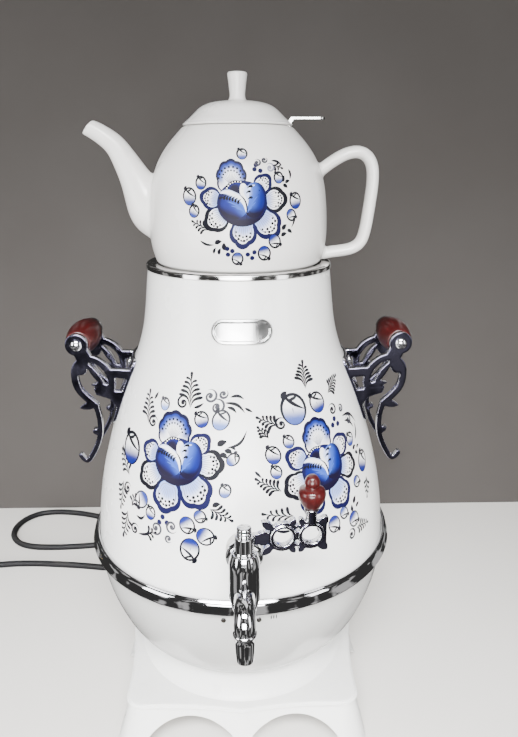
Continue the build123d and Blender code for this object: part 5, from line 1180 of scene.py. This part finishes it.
def medallion(plan, fine):
    """A rose with its petals and garland, in brushes finer than usual by a factor."""
    film = Film()
    film.fan(*plan["fan"])
    for petal in plan["petals"]:
        film.petal(*petal)
    film.rose(*plan["rose"])
    for bud in plan["buds"]:
        film.bud(*bud)
    for place in plan["berries"]:
        film.dot(1, place, BERRY * fine, NAVY)
    for curl in plan["curls"]:
        film.curl(*curl, CURL * fine)
    for root, tip, pairs, length in plan["sprays"]:
        film.spray(root, tip, pairs, 1.12 * length, SPRAY * fine)
    for leaf in plan["leaves"]:
        film.leaf(*leaf)
    for places in plan["strokes"]:
        film.stroke(1, places, LINE * fine)
    return film


# where each rose's middle lies: degrees round from the front, height, and lift off the wall
for name, plan, wall, azimuth, height, lift, fine, body, slot in (
    ("left_painted_rose", ROSE_LEFT, casing_wall, -24.5, 262.3, 0.07, 1, "samovar", "casing_enamel"),
    ("right_painted_rose", ROSE_RIGHT, casing_wall, 34, 256.1, 0.07, 1, "samovar", "casing_enamel"),
    ("teapot_painted_rose", ROSE_TEAPOT, pot_wall, 3, 438.2, 0.15, 0.8, "teapot", "porcelain"),
):
    rose = on_vessel(medallion(plan, fine), name, wall, azimuth, height, lift)
    dress(rose, slot, painted, body=body)

# ---- heat mark beside the right lamp

HEAT_PITCH, HEAT_HALF = 1.9, 1.9
heat_marks = Film()
for step in range(3):
    x = HEAT_PITCH * step
    heat_marks.stroke(0, [complex(x, -HEAT_HALF), complex(x, HEAT_HALF)], HEAT, shape="even")
marks = on_vessel(heat_marks, "three_heat_strokes", bowl_wall, 10.2, 149.2, 0.05)
dress(marks, "bowl_steel", painted)

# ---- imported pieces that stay

for finish, names in (
    (rubber, "rubber_feet"),
    (steel, "infuser bottom_cover inner_tank tank_support_ring teapot_stand heating_element"),
    (zinc, "plinth_screws plinth_nuts cover_screws joint_screws element_nuts tap_backnut handle_nuts"),
    (silicone, "element_seals tap_gasket tap_sleeve tap_inner_washer"),
    (bakelite, "thermostat thermal_cutout"),
    (block_white, "terminal_block"),
    (wire_skin, "internal_wiring"),
    (lens, "indicator_lamps"),
    (chrome, "key_washer key_nut right_grip_rod left_grip_rod"),
    (bright_chrome, "handle_screws"),
):
    for name in names.split():
        mesh = nodes[name].data
        mesh.materials.clear()
        mesh.materials.append(finish)

# ---- floor and backdrop


def stage_plane(name, size, location, rotation, finish):
    plane = started(
        name, bpy.ops.mesh.primitive_plane_add, (*size, 1), size=1, location=location, rotation=rotation
    )
    plane.data.materials.append(finish)
    plane.visible_glossy = False


floor_finish = coated("floor_finish", (0.72, 0.7, 0.665), (3, 0.5, 0.7), 0.2, dust=0)
wall_finish = coated("wall_finish", (0.056, 0.05, 0.046), (3, 0.7, 0.9), dust=0)
tree = wall_finish.node_tree
behind = node(tree, "ShaderNodeNewGeometry").outputs["Backfacing"]
front = tree.nodes["Principled BSDF"].outputs[0]
clear = node(tree, "ShaderNodeBsdfTransparent").outputs[0]
seen = node(tree, "ShaderNodeMixShader", behind, front, clear)
tree.links.new(seen.outputs[0], tree.nodes["Material Output"].inputs["Surface"])
stage_plane("floor", (5, 4), (0, -1.7, 0), (0, 0, 0), floor_finish)
stage_plane("backdrop", (5, 2.5), (0, 0.3, 1.25), (radians(90), 0, 0), wall_finish)

# A dim room with pale window bands that only reflections and light see.
WORLD_STRETCH = (2.6, 2.6, 0.9)
ROOM, WINDOWS, BACKGROUND = 0.045, 0.6, 0.1
world = bpy.data.worlds.new("studio")
world.use_nodes = True
tree = world.node_tree
generated = node(tree, "ShaderNodeTexCoord").outputs["Generated"]
upright = node(tree, "ShaderNodeVectorMath", generated, operation="MULTIPLY")
upright.inputs[1].default_value = WORLD_STRETCH
bands = noise(tree, upright.outputs[0], Scale=1.7, Detail=2.0)
straight = node(tree, "ShaderNodeLightPath").outputs["Is Camera Ray"]
shown = node(tree, "ShaderNodeMix", straight, data_type="FLOAT")
tree.links.new(map_range(tree, bands, 0.54, 0.6, ROOM, WINDOWS), shown.inputs[2])
shown.inputs[3].default_value = BACKGROUND
sky = tree.nodes["Background"].inputs
tree.links.new(shown.outputs[0], sky["Strength"])
sky["Color"].default_value = (1, 0.985, 0.97, 1)
bpy.context.scene.world = world

bpy.context.view_layer.update()
